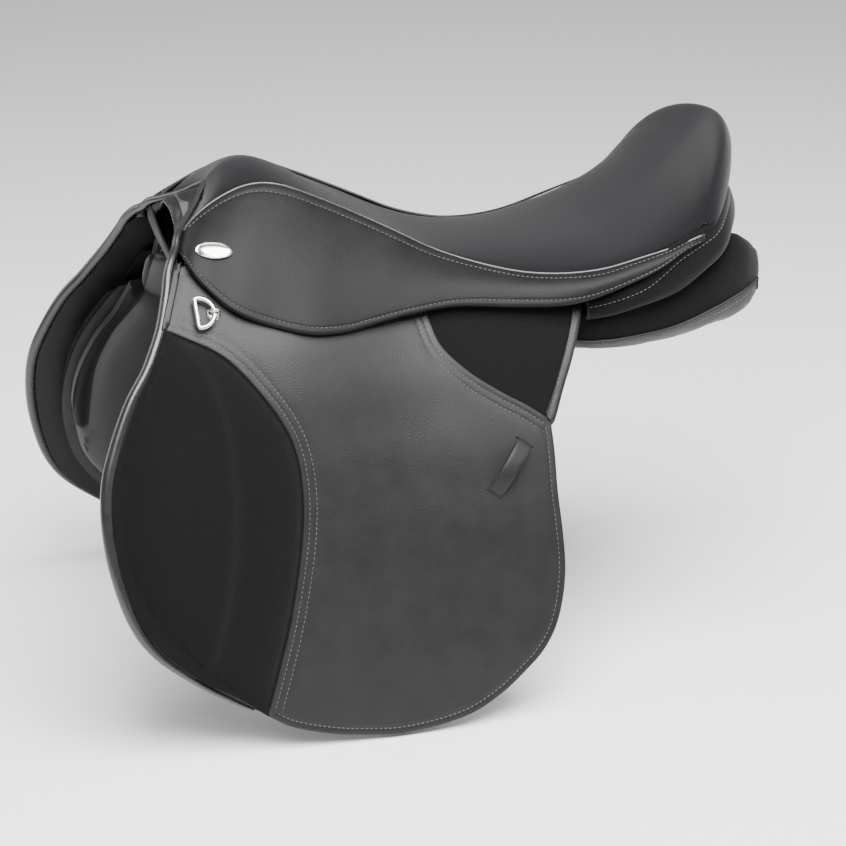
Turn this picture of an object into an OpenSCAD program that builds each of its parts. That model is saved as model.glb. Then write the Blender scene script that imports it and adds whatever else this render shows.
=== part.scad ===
// English riding saddle, general purpose, synthetic leather and suede, seat 17.5 in.
// Pommel toward -Y, cantle toward +Y, the rider's left (near) side toward +X, up +Z.
// The two sides mirror each other about X = 0.

/* [Seat and skirt] */
// thickness of the suede seat cover
cover_t = 2; // [1:0.5:4]
// radius of the piping round the seat
piping_r = 1.8; // [1:0.2:3]
// thickness of the skirt
skirt_t = 4; // [2.5:0.5:6]
// how far the middle of the skirt stands out
skirt_bulge = 6; // [0:1:10]

/* [Flap] */
// thickness of the flap
flap_t = 5; // [3:0.5:5.5]
// thickness of the suede laid on the flap
suede_t = 1.6; // [1:0.2:3]
// height of the padded knee roll under the suede
knee_h = 8; // [3:1:12]
// radius of the roll along the front of the flap
roll_r = 4.8; // [3.5:0.1:5]

/* [Girth straps] */
// width of a girth strap
strap_w = 26; // [20:1:30]
// thickness of a girth strap
strap_t = 4; // [3:0.5:4.5]
// diameter of a buckle hole
hole_d = 5; // [4:0.5:6]
// distance between buckle holes
hole_pitch = 25; // [20:1:30]

/* [Fittings] */
// wire diameter of the D-rings
dee_wire = 4; // [3:0.5:4.5]
// thickness of the stirrup bar
bar_t = 6; // [4:0.5:7]
// length of the oval skirt badge
badge_l = 28; // [20:1:34]

/* [Hidden] */
$fn = 32;

// colours
black_suede = [0.09, 0.08, 0.10];
black_leather = [0.15, 0.15, 0.16];
roll_leather = [0.30, 0.31, 0.33];
panel_leather = [0.20, 0.22, 0.21];
steel = [0.72, 0.72, 0.74];
nickel = [0.80, 0.78, 0.72];
polymer = [0.20, 0.20, 0.22];
web_white = [0.78, 0.76, 0.70];
foam_grey = [0.55, 0.55, 0.52];

// ---- curves and surfaces ----
function mix(a, b, t) = a + (b - a) * t;
function clamp01(t) = max(0, min(1, t));
function smooth(a, b, v) = let(t = clamp01((v - a) / (b - a))) t * t * (3 - 2 * t);
function unit(v) = v / norm(v);
function flat(L) = [for (a = L) each a];

// point u along a smooth curve through the points of P
function curve(P, u) =
  let(n = len(P) - 1, i = min(floor(u), n - 1), t = u - i,
      b = P[i], c = P[i + 1],
      a = i > 0 ? P[i - 1] : 2 * b - c,
      d = i + 2 <= n ? P[i + 2] : 2 * c - b)
  0.5 * (2 * b + (c - a) * t + (2 * a - 5 * b + 4 * c - d) * t * t
  + (3 * b - a - 3 * c + d) * t * t * t);
function curve_pts(P, k) = let(n = (len(P) - 1) * k) [for (i = [0 : n]) curve(P, i / k)];

// outside face of the saddle's side: distance from the centre plane at each height,
// over the tree points (side_front) and at the waist (side_waist)
side_front = [[-300, 218], [-250, 212], [-200, 204], [-150, 194], [-100, 182], [-50, 166],
  [0, 146], [30, 130], [55, 111], [75, 93], [92, 75], [106, 55], [120, 30], [130, 0]];
side_waist = [[-300, 218], [-250, 212], [-200, 204], [-150, 192], [-100, 177], [-50, 156],
  [0, 129], [20, 115], [40, 98], [60, 79], [90, 52], [130, 10]];
waist_front = -175;
waist_back = -50;
blur = 9;
function soft(z, tab) =
  (lookup(z - blur, tab) + 2 * lookup(z, tab) + lookup(z + blur, tab)) / 4;
function side_x(y, z) =
  mix(soft(z, side_front), soft(z, side_waist), smooth(waist_front, waist_back, y));
function side_n(y, z) =
  unit([1, (side_x(y - 3, z) - side_x(y + 3, z)) / 6, (side_x(y, z - 3) - side_x(y, z + 3)) / 6]);
function side_pt(y, z, d) = [side_x(y, z), y, z] + d * side_n(y, z);

// the seat: [centre y, centre z, edge x, edge y, edge z, roundness across]
seat = [
  [-203, 127, 50, -232, 98, 1.05], [-197, 137, 46, -223, 109, 1.2],
  [-184, 146, 43, -207, 122, 1.5], [-166, 148, 40, -185, 132, 1.8],
  [-142, 139, 38, -158, 135, 2], [-112, 121, 40, -124, 123, 2],
  [-80, 103, 46, -90, 108, 2], [-48, 87, 54, -56, 90, 2.1],
  [-15, 78, 64, -20, 73, 2.2], [20, 73, 76, 17, 62, 2.2],
  [54, 72, 89, 50, 58, 2.2], [88, 74, 99, 84, 62, 2.2],
  [120, 80, 104, 114, 69, 2.2], [150, 94, 107, 139, 76, 2.2],
  [176, 114, 108, 157, 81, 2.2], [200, 140, 108, 167, 83, 2.2],
  [218, 159, 107, 173, 84, 2.2], [228, 150, 107, 177, 85, 2.2],
  [228, 130, 107, 180, 87, 2.2], [222, 110, 107, 182, 88, 2.2]
];
seat_n = len(seat) - 1;
function seat_pt(u, t) =
  let(s = curve(seat, u), a = abs(t), k = pow(a, s[5]))
  [sign(t) * s[2] * mix(sin(90 * a), a, 0.6), mix(s[0], s[3], pow(a, 1.6)),
   mix(s[1], s[4], mix(k, 1 - sqrt(max(0, 1 - k * k)), 0.35 * smooth(7, 12, u)))];
// the seat's grid stops inset short of the seam
function seat_grid(u0, u1, nu, inset, nt) =
  [for (i = [0 : nu]) let(u = mix(u0, u1, i / nu), t1 = 1 - inset / (0.6 * curve(seat, u)[2]))
    [for (j = [-nt : nt]) seat_pt(u, t1 * j / nt)]];

// skirt: top edge along the piping and lower edge, [x, y, z, x, y, z]
skirt = [
  [48, -231, 102, 54, -236, 96], [44, -218, 116, 87, -234, 90],
  [40, -196, 129, 103, -222, 74.5], [38, -173, 136, 117, -204, 60],
  [39, -150, 134, 123, -176, 48], [42, -120, 122, 127, -148, 41],
  [47, -90, 108, 123, -122, 39], [54, -62, 94, 117, -98, 41],
  [62, -32, 79, 111, -70, 44], [71, 0, 68, 106, -30, 46],
  [82, 33, 61, 109, 18, 42], [92, 65, 60, 114, 51, 41],
  [101, 94, 64, 116, 75, 44], [105, 120, 71, 119, 102, 53],
  [108, 145, 78, 120, 131, 65], [108, 161, 83, 116, 155, 78],
  [107, 174, 87, 109, 175, 83]
];
skirt_n = len(skirt) - 1;
function skirt_top(u) = let(s = curve(skirt, u)) [s[0], s[1], s[2]];
function skirt_low(u) = let(s = curve(skirt, u)) [s[3], s[4], s[5]];
function skirt_pt(u, w) =
  let(a = skirt_top(u), b = skirt_low(u), c = b - a,
      n = unit(cross([0, 1, 0], [c[0], 0, c[2]])))
  mix(a, b, w) - n * skirt_bulge * sin(180 * w) * smooth(0, 3, u) * smooth(16, 12, u);

// straight crease the skirt lifts about
skirt_axis_a = [60, -222, 115];
skirt_axis_b = [96, 34, 59];
skirt_axis = unit(skirt_axis_b - skirt_axis_a);
skirt_out = unit([0.62, 0, 0.78]);
skirt_cut = cross(skirt_axis, skirt_out);
function crease_w(u) =
  let(a = skirt_top(u), b = skirt_low(u))
  clamp01(((skirt_axis_a - a) * skirt_cut) / ((b - a) * skirt_cut));

// flap outline, row by row from the crease down: [front y, front z, rear y, rear z]
flap_rows = [
  [-267, 28, 74, 28], [-279, 11, 61, 6], [-291, -9, 49, -16], [-301, -31, 38, -38],
  [-308, -53, 34, -62], [-311, -79, 33, -90], [-310, -105, 34, -117],
  [-305, -129, 34, -141], [-297, -151, 31, -163], [-281, -175, 24, -186],
  [-256, -198, 12, -205], [-231, -215, -4, -220], [-208, -229, -22, -234],
  [-192, -239, -44, -246], [-172, -246, -66, -252], [-150, -251, -88, -255],
  [-128, -254, -108, -256]
];
crease_z = 30;

// front roll: [y, z, radius share]
roll_line = [
  [-277, 24, 1], [-291.8, 4, 1], [-306, -25, 1], [-315, -52, 1], [-317, -83, 1],
  [-313, -116, 0.95], [-303, -150, 0.85], [-287, -175, 0.65], [-259, -199, 0.4]
];

// ---- solids ----
function grid_n(P) =
  let(r = len(P) - 1, c = len(P[0]) - 1)
  [for (i = [0 : r]) [for (j = [0 : c])
    unit(cross(P[min(i + 1, r)][j] - P[max(i - 1, 0)][j],
               P[i][min(j + 1, c)] - P[i][max(j - 1, 0)]))]];
// the grid moved along its own normals by d
function moved(P, d) =
  let(n = grid_n(P)) [for (i = [0 : len(P) - 1]) [for (j = [0 : len(P[0]) - 1]) P[i][j] + d * n[i][j]]];

// closed sheet between two grids of the same size
module slab(A, B) {
  r = len(A);
  c = len(A[0]);
  m = r * c;
  rim = concat([for (j = [0 : c - 1]) j], [for (i = [1 : r - 1]) i * c + c - 1],
    [for (j = [c - 2 : -1 : 0]) (r - 1) * c + j], [for (i = [r - 2 : -1 : 1]) i * c]);
  k = len(rim);
  polyhedron(
    points = concat(flat(A), flat(B)),
    faces = concat(
      [for (i = [0 : r - 2]) for (j = [0 : c - 2]) each
        [[i * c + j, i * c + j + 1, i * c + c + j + 1], [i * c + j, i * c + c + j + 1, i * c + c + j]]],
      [for (i = [0 : r - 2]) for (j = [0 : c - 2]) each
        [[m + i * c + j, m + i * c + c + j + 1, m + i * c + j + 1],
         [m + i * c + j, m + i * c + c + j, m + i * c + c + j + 1]]],
      [for (q = [0 : k - 1]) let(a = rim[q], b = rim[(q + 1) % k]) each
        [[a, m + a, b], [b, m + a, m + b]]]));
}

// closed solid through rings of the same size
module loft(R) {
  n = len(R[0]);
  m = len(R);
  mid_a = [for (k = [0 : 2]) [for (p = R[0]) p[k]] * [for (p = R[0]) 1] / n];
  mid_b = [for (k = [0 : 2]) [for (p = R[m - 1]) p[k]] * [for (p = R[0]) 1] / n];
  polyhedron(
    points = concat(flat(R), [mid_a, mid_b]),
    faces = concat(
      [for (i = [0 : m - 2]) for (j = [0 : n - 1]) let(a = i * n + j, b = i * n + (j + 1) % n) each
        [[b, a, b + n], [b + n, a, a + n]]],
      [for (j = [0 : n - 1]) [m * n, j, (j + 1) % n]],
      [for (j = [0 : n - 1]) [m * n + 1, (m - 1) * n + (j + 1) % n, (m - 1) * n + j]]));
}

// round tube along path P with radius list R
module tube(P, R, n = 10) {
  last = len(P) - 1;
  loft([for (i = [0 : last])
    let(d = unit(P[min(i + 1, last)] - P[max(i - 1, 0)]),
        a = unit(cross(d, [0.3, 0.2, 1])), b = cross(d, a))
    [for (k = [0 : n - 1]) P[i] + R[i] * (cos(360 * k / n) * a + sin(360 * k / n) * b)]]);
}

// sheet laid on the saddle's side between depths d_out and d_in, rows of [y, z, y, z]
module side_sheet(rows, cols, d_out, d_in) {
  function at(row, j, d) =
    let(t = j / cols) side_pt(mix(row[0], row[2], t), mix(row[1], row[3], t), d);
  slab([for (r = rows) [for (j = [0 : cols]) at(r, j, d_out)]],
       [for (r = rows) [for (j = [0 : cols]) at(r, j, d_in)]]);
}

// sheet on the side, flat at depth base and padded on the other face; the padding
// swells by crown beyond top, most at the share peak of the way across
module side_pad(rows, cols, base, top, crown, peak) {
  last = len(rows) - 1;
  function lift(i, j) =
    let(t = j / cols, s = t < peak ? t / peak : (1 - t) / (1 - peak))
    top + crown * sin(90 * pow(s, 0.7)) * sin(180 * pow(i / last, 0.8));
  function at(i, j, d) =
    let(r = rows[i], t = j / cols) side_pt(mix(r[0], r[2], t), mix(r[1], r[3], t), d);
  back = [for (i = [0 : last]) [for (j = [0 : cols]) at(i, j, base)]];
  face = [for (i = [0 : last]) [for (j = [0 : cols]) at(i, j, lift(i, j))]];
  if (crown > 0) slab(face, back);
  if (crown < 0) slab(back, face);
}

// shows a near-side piece on the other side
module other_side() {
  mirror([1, 0, 0]) children();
}

// ---- tree ----
tree_t = 5;
foam_top = 3.4;
foam_t = 9;
cantle_thin = 5;
web_gap = 1.1;
web_t = 1.3;
tree_top = foam_top + foam_t + 2 * web_gap + web_t;
arch = [[0, 113], [12, 112], [26, 104], [48, 84], [66, 68], [84, 54], [96, 42]];
arch_t = 8;
arch_front = -224;
arch_back = -190;
gullet_t = 3;
screw_d = 6;
screw_at = [[52, 80.5], [78, 58.8]];
wing_low_z = 45;
function wing_low_x(y) = 82 - 0.18 * (y + 150);
// [y, width of the wing measured along X]
wing_rows = [[-193, 52], [-170, 54], [-150, 54], [-130, 50], [-110, 46], [-75, 33], [-45, 22]];

function arch_line(d) =
  let(n = len(arch) - 1)
  [for (i = [0 : n])
    let(a = arch[max(i - 1, 0)], b = arch[min(i + 1, n)], e = unit(i == 0 ? [1, 0] : b - a))
    arch[i] + d * [-e[1], e[0]]];
module arch_shape(d_in, d_out) {
  a = arch_line(d_out);
  b = arch_line(d_in);
  n = len(a) - 1;
  polygon(concat([for (i = [n : -1 : 0]) [-a[i][0], a[i][1]]], [for (i = [1 : n]) a[i]],
    [for (i = [n : -1 : 0]) b[i]], [for (i = [1 : n]) [-b[i][0], b[i][1]]]));
}
// a shape drawn in X-Z and run along Y
module along_y(y0, y1) {
  translate([0, y1, 0]) rotate([90, 0, 0]) linear_extrude(y1 - y0) children();
}

module seat_shell(u0, u1, nu, inset, nt, d0, d1, thin) {
  P = seat_grid(u0, u1, nu, inset, nt);
  N = grid_n(P);
  // the foam grows thinner toward the cantle
  function grow(i) = -thin * smooth(9, 14, mix(u0, u1, i / nu));
  function at(i, j, d) = P[i][j] + (d + (d > foam_top ? grow(i) : 0)) * N[i][j];
  slab([for (i = [0 : nu]) [for (j = [0 : 2 * nt]) at(i, j, d1)]],
       [for (i = [0 : nu]) [for (j = [0 : 2 * nt]) at(i, j, d0)]]);
}

module tree_wing() {
  m = 4;
  A = [for (w = wing_rows) [for (j = [0 : m]) let(k = w[1] * (1 - j / m))
    [wing_low_x(w[0]) - k, w[0], wing_low_z + k]]];
  slab(moved(A, tree_t), A);
}

module tree() {
  color(polymer) difference() {
    union() {
      seat_shell(1.8, 15, 18, 9, 6, tree_top, tree_top + tree_t, cantle_thin);
      tree_wing();
      other_side() tree_wing();
      along_y(arch_front, arch_back) arch_shape(0, arch_t);
    }
    // opening that the seat webs span
    translate([0, 0, 30]) linear_extrude(110)
      polygon([[-14, -75], [-24, -20], [-44, 30], [-58, 80], [-50, 108], [50, 108], [58, 80],
        [44, 30], [24, -20], [14, -75]]);
    screw_holes(screw_d + 0.8);
    for (s = [0, 1]) mirror([s, 0, 0]) at_bar() for (y = bar_rivet_y)
      translate([0, y, -14]) cylinder(h = 20, d = 5.8);
  }
}
screw_slope = 42;
module at_screws() {
  for (s = [-1, 1]) for (p = screw_at)
    translate([s * p[0], (arch_front + arch_back) / 2, p[1]]) rotate([0, s * screw_slope, 0]) children();
}
module screw_holes(d) {
  at_screws() translate([0, 0, -16]) cylinder(h = 34, d = d);
}

module gullet_plate() {
  color(steel) difference() {
    along_y(arch_front + 4, arch_back - 4) arch_shape(-gullet_t - 0.4, -0.4);
    screw_holes(screw_d + 0.8);
  }
}

module gullet_screws() {
  color(steel) at_screws() {
    translate([0, 0, -8]) cylinder(h = 16, d = screw_d);
    translate([0, 0, -10.6]) cylinder(h = 3, d = 11);
  }
}

module seat_webs() {
  lo = foam_top + foam_t + web_gap;
  color(web_white) {
    for (s = [-1, 1])
      intersection() {
        seat_shell(6, 14.6, 20, 12, 7, lo, lo + web_t, cantle_thin);
        translate([s * 14 - 9, -200, 20]) cube([18, 400, 160]);
      }
    for (y = [0, 60])
      difference() {
        intersection() {
          seat_shell(6, 14.6, 20, 12, 7, lo, lo + web_t, cantle_thin);
          translate([-80, y, 20]) cube([160, 26, 160]);
        }
        for (s = [-1, 1]) translate([s * 14 - 9.5, -200, 20]) cube([19, 400, 160]);
      }
  }
}

module seat_foam() {
  color(foam_grey)
    seat_shell(1.4, 15.4, 26, 8, 8, foam_top, foam_top + foam_t, cantle_thin);
}

module seat_cover() {
  color(black_suede)
    seat_shell(0, seat_n, 34, 3.6, 9, 0, cover_t, 0);
}

// ---- piping and welt ----
module seat_piping() {
  P = [for (i = [0 : 26]) skirt_top(mix(0.25, skirt_n - 0.2, i / 26))];
  color(black_leather) tube(P, [for (p = P) piping_r], 8);
}

welt = [
  [74, -246, 89, 3.4], [63, -246, 95, 3.1], [49, -238, 103, 2.9], [36, -224, 110.5, 2.8],
  [24, -214, 118, 2.6], [12, -207.5, 126, 2.5], [0, -206, 129, 2.5]
];
roll_top = [[-269.5, 36, 4.8], [-260, 53, 4.7], [-251.5, 74, 4.2]];
module pommel_welt() {
  half = concat(
    [for (r = roll_top) concat(side_pt(r[0], r[1], -2), [r[2]])],
    welt);
  n = len(half);
  all = concat(half, [for (i = [n - 2 : -1 : 0]) [-half[i][0], half[i][1], half[i][2], half[i][3]]]);
  S = curve_pts(all, 2);
  color(roll_leather) tube([for (s = S) [s[0], s[1], s[2]]], [for (s = S) s[3]], 10);
}

// ---- cantle band ----
band = [
  [106, 78, 41, 105, 79, 25], [111, 90, 45, 112, 97, 29], [116, 108, 52, 116, 121, 36],
  [115, 134, 63, 114, 150, 44], [111, 160, 74, 110, 174, 58], [105, 183, 84, 103, 192, 70],
  [88, 198, 97, 87, 204, 82], [65, 210, 103, 64, 214, 88], [36, 219, 106, 35, 221, 91],
  [0, 224, 107, 0, 226, 92]
];
band_t = 4;
module cantle_band() {
  n = len(band);
  all = concat(band, [for (i = [n - 2 : -1 : 0]) let(b = band[i]) [-b[0], b[1], b[2], -b[3], b[4], b[5]]]);
  S = curve_pts(all, 2);
  m = 4;
  A = [for (s = S) [for (j = [0 : m])
    let(w = j / m, p = mix([s[0], s[1], s[2]], [s[3], s[4], s[5]], w),
        o = unit([p[0], (p[1] - 60) * 0.8, 0])) p + 3 * sin(180 * w) * o]];
  color(black_suede) slab(moved(A, band_t), A);
}

// ---- stirrup bar ----
bar_y = -122;
bar_z = 62;
bar_at = [wing_low_x(bar_y) - (bar_z - wing_low_z), bar_y, bar_z];
bar_len = 84;
bar_w = 14;
plate_t = 3;
bar_gap = 11;
module at_bar() {
  on_face(bar_at, [1, 0, -1], unit([1, 0.18, 1])) children();
}
// here x runs down the slope, y along the saddle, z straight out of it
module stirrup_bar() {
  color(steel) at_bar() {
    difference() {
      translate([-14, -bar_len / 2 - 4, 0.5]) cube([28, bar_len, plate_t]);
      for (y = bar_rivet_y) translate([0, y, -1]) cylinder(h = 8, d = 5.4);
    }
    // neck at the front, standing the bar off the plate
    translate([-bar_w / 2, -bar_len / 2 - 4, plate_t + 0.5]) cube([bar_w, 9, bar_gap]);
    translate([-bar_w / 2, -bar_len / 2 - 4, plate_t + bar_gap + 0.5]) cube([bar_w, bar_len - 2, bar_t]);
    // lugs for the catch pin at the open end
    for (s = [-1, 1]) translate([s * bar_w / 2 - 2, bar_len / 2 - 14, plate_t + bar_gap + 0.5])
      difference() {
        cube([4, 18, bar_t]);
        translate([-1, 13, bar_t / 2]) rotate([0, 90, 0]) cylinder(h = 6, d = 3.6);
      }
  }
}
bar_rivet_y = [-32, 31];
module bar_rivets() {
  color(nickel) at_bar() for (y = bar_rivet_y) {
    translate([0, y, -6]) cylinder(h = 12, d = 5);
    translate([0, y, plate_t + 0.9]) cylinder(h = 2, d1 = 9, d2 = 7);
    translate([0, y, -7.4]) cylinder(h = 2, d = 9);
  }
}
catch_y = 41;
catch_w = 9;
module bar_catch() {
  color(steel) at_bar() translate([0, catch_y, plate_t + bar_gap + 0.5 + bar_t / 2]) {
    rotate([0, 90, 0]) cylinder(h = bar_w + 6, d = 2.8, center = true);
    rotate([0, 90, 0]) cylinder(h = catch_w, d = 5, center = true);
    translate([-catch_w / 2, 0.5, -2]) cube([catch_w, 11, 4]);
    translate([-catch_w / 2, 9, -2]) cube([catch_w, 3, 5]);
  }
}

// ---- skirt ----
crease_gap = 0.8;
edge_gap = 3.4;
tip_gap = 10;
function run_len(u) = norm(skirt_low(u) - skirt_top(u));
function crease_above(u) = clamp01(crease_w(u) - crease_gap / run_len(u));
function crease_below(u) = max(crease_w(u) + crease_gap / run_len(u), tip_gap / run_len(u));
module skirt_sheet(u0, u1, n, w0, w1, m) {
  A = [for (i = [0 : n]) let(u = mix(u0, u1, i / n))
    [for (j = [0 : m]) skirt_pt(u, mix(w0[i], w1[i], j / m))]];
  slab(moved(A, skirt_t), A);
}
// the strip along the piping and the tail behind tail_from stay put
tail_from = 10.7;
module skirt_head() {
  n = 14;
  m = 8;
  u0 = 1;
  u1 = skirt_n - 0.15;
  U = [for (i = [0 : n]) mix(u0, tail_from + 0.1, i / n)];
  V = [for (i = [0 : m]) mix(tail_from, u1, i / m)];
  color(black_leather) {
    skirt_sheet(u0, tail_from + 0.1, n, [for (u = U) edge_gap / run_len(u)],
      [for (u = U) crease_above(u)], 4);
    skirt_sheet(tail_from, u1, m, [for (u = V) edge_gap / run_len(u)], [for (u = V) 1], 5);
  }
}
module skirt() {
  n = 20;
  u0 = 0.3;
  u1 = tail_from - 0.1;
  U = [for (i = [0 : n]) mix(u0, u1, i / n)];
  color(black_leather) skirt_sheet(u0, u1, n, [for (u = U) crease_below(u)], [for (u = U) 1], 6);
}

// places things on a surface point: x along u, y along v, z straight out
module on_face(p, u, n) {
  a = unit(u - (u * n) * n);
  b = cross(n, a);
  multmatrix([[a[0], b[0], n[0], p[0]], [a[1], b[1], n[1], p[1]], [a[2], b[2], n[2], p[2]]])
    children();
}
badge_u = 2;
badge_v = 0.63;
module badge() {
  p = skirt_pt(badge_u, badge_v);
  c = cross(skirt_pt(badge_u, badge_v + 0.05) - p, skirt_pt(badge_u + 0.2, badge_v) - p);
  color(nickel) on_face(p, [0.3, 1, -0.12], unit(c)) {
    translate([0, 0, 0.9]) linear_extrude(1) scale([1, 0.5]) circle(d = badge_l, $fn = 40);
    translate([0, 0, 1.9]) linear_extrude(0.7, scale = 0.86) scale([1, 0.46])
      circle(d = badge_l - 3, $fn = 40);
  }
}

// ---- flap ----
// fixed head under the skirt: [top y, top z, lower y]
head = [
  [-240, 89, -265.5], [-221, 89, -240], [-198, 80, -212], [-174, 65, -182], [-152, 53, -156],
  [-122, 50, -124], [-92, 50, -92], [-60, 48, -60], [-20, 45, -20], [20, 42, 20],
  [50, 40, 50], [74, 37, 75]
];
head_low = 31.2;
module flap_head() {
  m = 5;
  last = len(head) - 1;
  function at(i, j, d) =
    let(h = head[j], w = i / m, bow = 3.4 * sin(180 * w) * smooth(2, 0, j))
    side_pt(mix(h[0], h[2], w) + bow, mix(h[1], head_low, w), d);
  color(black_leather)
    slab([for (i = [0 : m]) [for (j = [0 : last]) at(i, j, 0)]],
         [for (i = [0 : m]) [for (j = [0 : last]) at(i, j, -flap_t)]]);
}
module flap() {
  color(black_leather) side_sheet(flap_rows, 12, 0, -flap_t);
}
suede_lift = 0.7;
knee_rows = [
  [-264, 24, -212, 24], [-276, 6, -196, 5], [-287, -14, -180, -18], [-297, -36, -170, -42],
  [-303, -58, -168, -66], [-306, -82, -169, -92], [-304, -107, -173, -120],
  [-299, -130, -179, -145], [-290, -151, -185, -167], [-273, -173, -191, -185],
  [-250, -192, -196, -201], [-230, -206, -201, -213], [-215, -217, -207, -221]
];
module knee_suede() {
  color(black_suede) side_pad(knee_rows, 12, suede_lift, suede_lift + suede_t, knee_h, 0.42);
}
rear_rows = [
  [-44, 25, 66, 25], [-40, 12, 58, 8], [-26, 1, 50, -9], [-8, -10, 42, -23], [16, -22, 37, -33]
];
module rear_suede() {
  color(black_suede) side_sheet(rear_rows, 8, suede_lift + suede_t, suede_lift);
}
module front_roll() {
  S = curve_pts(roll_line, 2);
  color(roll_leather)
    tube([for (p = S) side_pt(p[0], p[1], -2)], [for (p = S) roll_r * p[2]], 10);
}
keeper_at = [-4, -68];
keeper_l = 46;
keeper_w = 12;
keeper_h = 9;
keeper_t = 2.2;
module keeper() {
  color(black_leather)
    on_face(side_pt(keeper_at[0], keeper_at[1], 1.2), [0, 27, 37], side_n(keeper_at[0], keeper_at[1]))
    translate([0, keeper_w / 2, 0]) rotate([90, 0, 0]) linear_extrude(keeper_w)
      polygon(concat(
        [for (i = [0 : 12]) let(t = i / 12)
          [keeper_l * (t - 0.5), keeper_t + keeper_h * pow(sin(180 * t), 0.8)]],
        [for (i = [12 : -1 : 0]) let(t = i / 12)
          [keeper_l * (t - 0.5) * 0.98, (keeper_h - 0.2) * pow(sin(180 * t), 0.9)]]));
}

// ---- D-ring ----
dee_at = [-220, 57];
dee_h = 6.4;
dee_r = 12;
module at_dee() {
  on_face(side_pt(dee_at[0], dee_at[1], 0), [0, 0, 1], side_n(dee_at[0], dee_at[1])) children();
}
module dee_stud() {
  color(nickel) at_dee() {
    translate([0, 0, 0.5]) cylinder(h = 1.4, d = 11);
    // the eye, round the wire
    translate([0, 0, dee_h]) rotate([0, 90, 0])
      rotate_extrude($fn = 28) translate([dee_wire / 2 + 0.5 + 1.2, 0]) circle(d = 2.4, $fn = 12);
  }
}
dee_bar = 3.6;
dee_corner = 4.6;
module dee_ring() {
  color(nickel) at_dee() translate([0, dee_r, dee_h]) {
    difference() {
      rotate_extrude($fn = 36) translate([dee_r, 0]) circle(d = dee_wire, $fn = 14);
      translate([-20, 0.3, -5]) cube([40, 20, 10]);
    }
    for (s = [-1, 1]) translate([s * dee_r, 0, 0]) sphere(d = dee_corner, $fn = 16);
    rotate([0, 90, 0]) cylinder(h = 2 * dee_r, d = dee_bar, center = true, $fn = 14);
  }
}

// ---- girth straps ----
strap_y = [-118, -52];
strap_top = 26;
strap_bend = -62;
strap_low = -216;
strap_d = 10;
web_w = 34;
function xz(p) = [p[0], p[2]];
function strap_line(y, d) =
  concat([for (z = [strap_top, 6, -16, -38, strap_bend]) xz(side_pt(y, z, d))],
    [xz(side_pt(y, strap_low, d))]);
function strap_dir(y) =
  unit(xz(side_pt(y, strap_low, -strap_d)) - xz(side_pt(y, strap_bend, -strap_d)));
module strap(k, holes) {
  y = strap_y[k];
  a = strap_line(y, -strap_d);
  e = strap_dir(y);
  b = strap_line(y, -strap_d - strap_t);
  color(black_leather) difference() {
    along_y(y - strap_w / 2, y + strap_w / 2)
      polygon(concat(a, [for (i = [len(b) - 1 : -1 : 0]) b[i]]));
    for (i = [0 : holes - 1]) {
      p = a[len(a) - 1] - e * (22 + i * hole_pitch);
      translate([p[0], y, p[1]]) rotate([0, 90 - atan2(e[0], -e[1]), 0])
        translate([0, 0, -10]) cylinder(h = 20, d = hole_d);
    }
  }
}
module girth_web() {
  color(web_white) for (y = strap_y) {
    top = xz(side_pt(y, strap_top + 2.6, -strap_d - 1));
    x = wing_low_x(y);
    // the rear web stops lower, where the wing narrows
    up = y < -80 ? 31 : 20;
    // up the inside of the tree wing
    along_y(y - web_w / 2, y + web_w / 2)
      polygon([top, [x - 2, 35], [x - 3 - up, 35 + up], [x - 4 - up, 33.8 + up], [x - 3, 33.4],
        top - [1.2, 1.8]]);
  }
}

// ---- under the flap ----
knee_block_rows = [
  [-262, 14, -224, 18], [-275, -8, -236, -4], [-286, -32, -244, -28], [-292, -58, -248, -54],
  [-294, -84, -249, -81], [-292, -110, -247, -107], [-286, -134, -243, -130],
  [-276, -152, -237, -148]
];
module knee_block() {
  color(black_leather) side_pad(knee_block_rows, 6, -19.4, -15, 7, 0.5);
}
thigh_rows = [
  [-7, -44, 14, -46], [-8, -66, 17, -68], [-8, -90, 18, -92], [-8, -114, 17, -116],
  [-9, -136, 14, -138]
];
module thigh_block() {
  color(black_leather) side_pad(thigh_rows, 4, -19.4, -15, 6, 0.5);
}
sweat_rows = [
  [-254, 24, 20, 24], [-266, 4, 20, 0], [-280, -24, 19, -28], [-290, -52, 19, -56],
  [-293, -84, 19, -88], [-290, -116, 17, -118], [-280, -146, 12, -148], [-262, -172, 4, -174],
  [-236, -194, -12, -196], [-206, -210, -36, -211], [-170, -220, -70, -221]
];
module sweat_flap() {
  color(panel_leather) side_sheet(sweat_rows, 10, -20, -24);
}
pocket_rows = [[-232, 55, -186, 55], [-238, 42, -184, 42], [-243, 29, -182, 29]];
module point_pocket() {
  color(black_leather) side_sheet(pocket_rows, 5, -9.1, -11.5);
}
leg_rows = [
  [-243, 12, -152, 12], [-257, -6, -147, -6], [-271, -32, -142, -32], [-281, -60, -140, -60],
  [-285, -90, -140, -90], [-281, -120, -142, -120], [-270, -147, -148, -149],
  [-252, -168, -160, -171], [-228, -183, -180, -186]
];
module panel_leg() {
  color(panel_leather) side_pad(leg_rows, 9, -25, -31, -10, 0.45);
}

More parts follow.
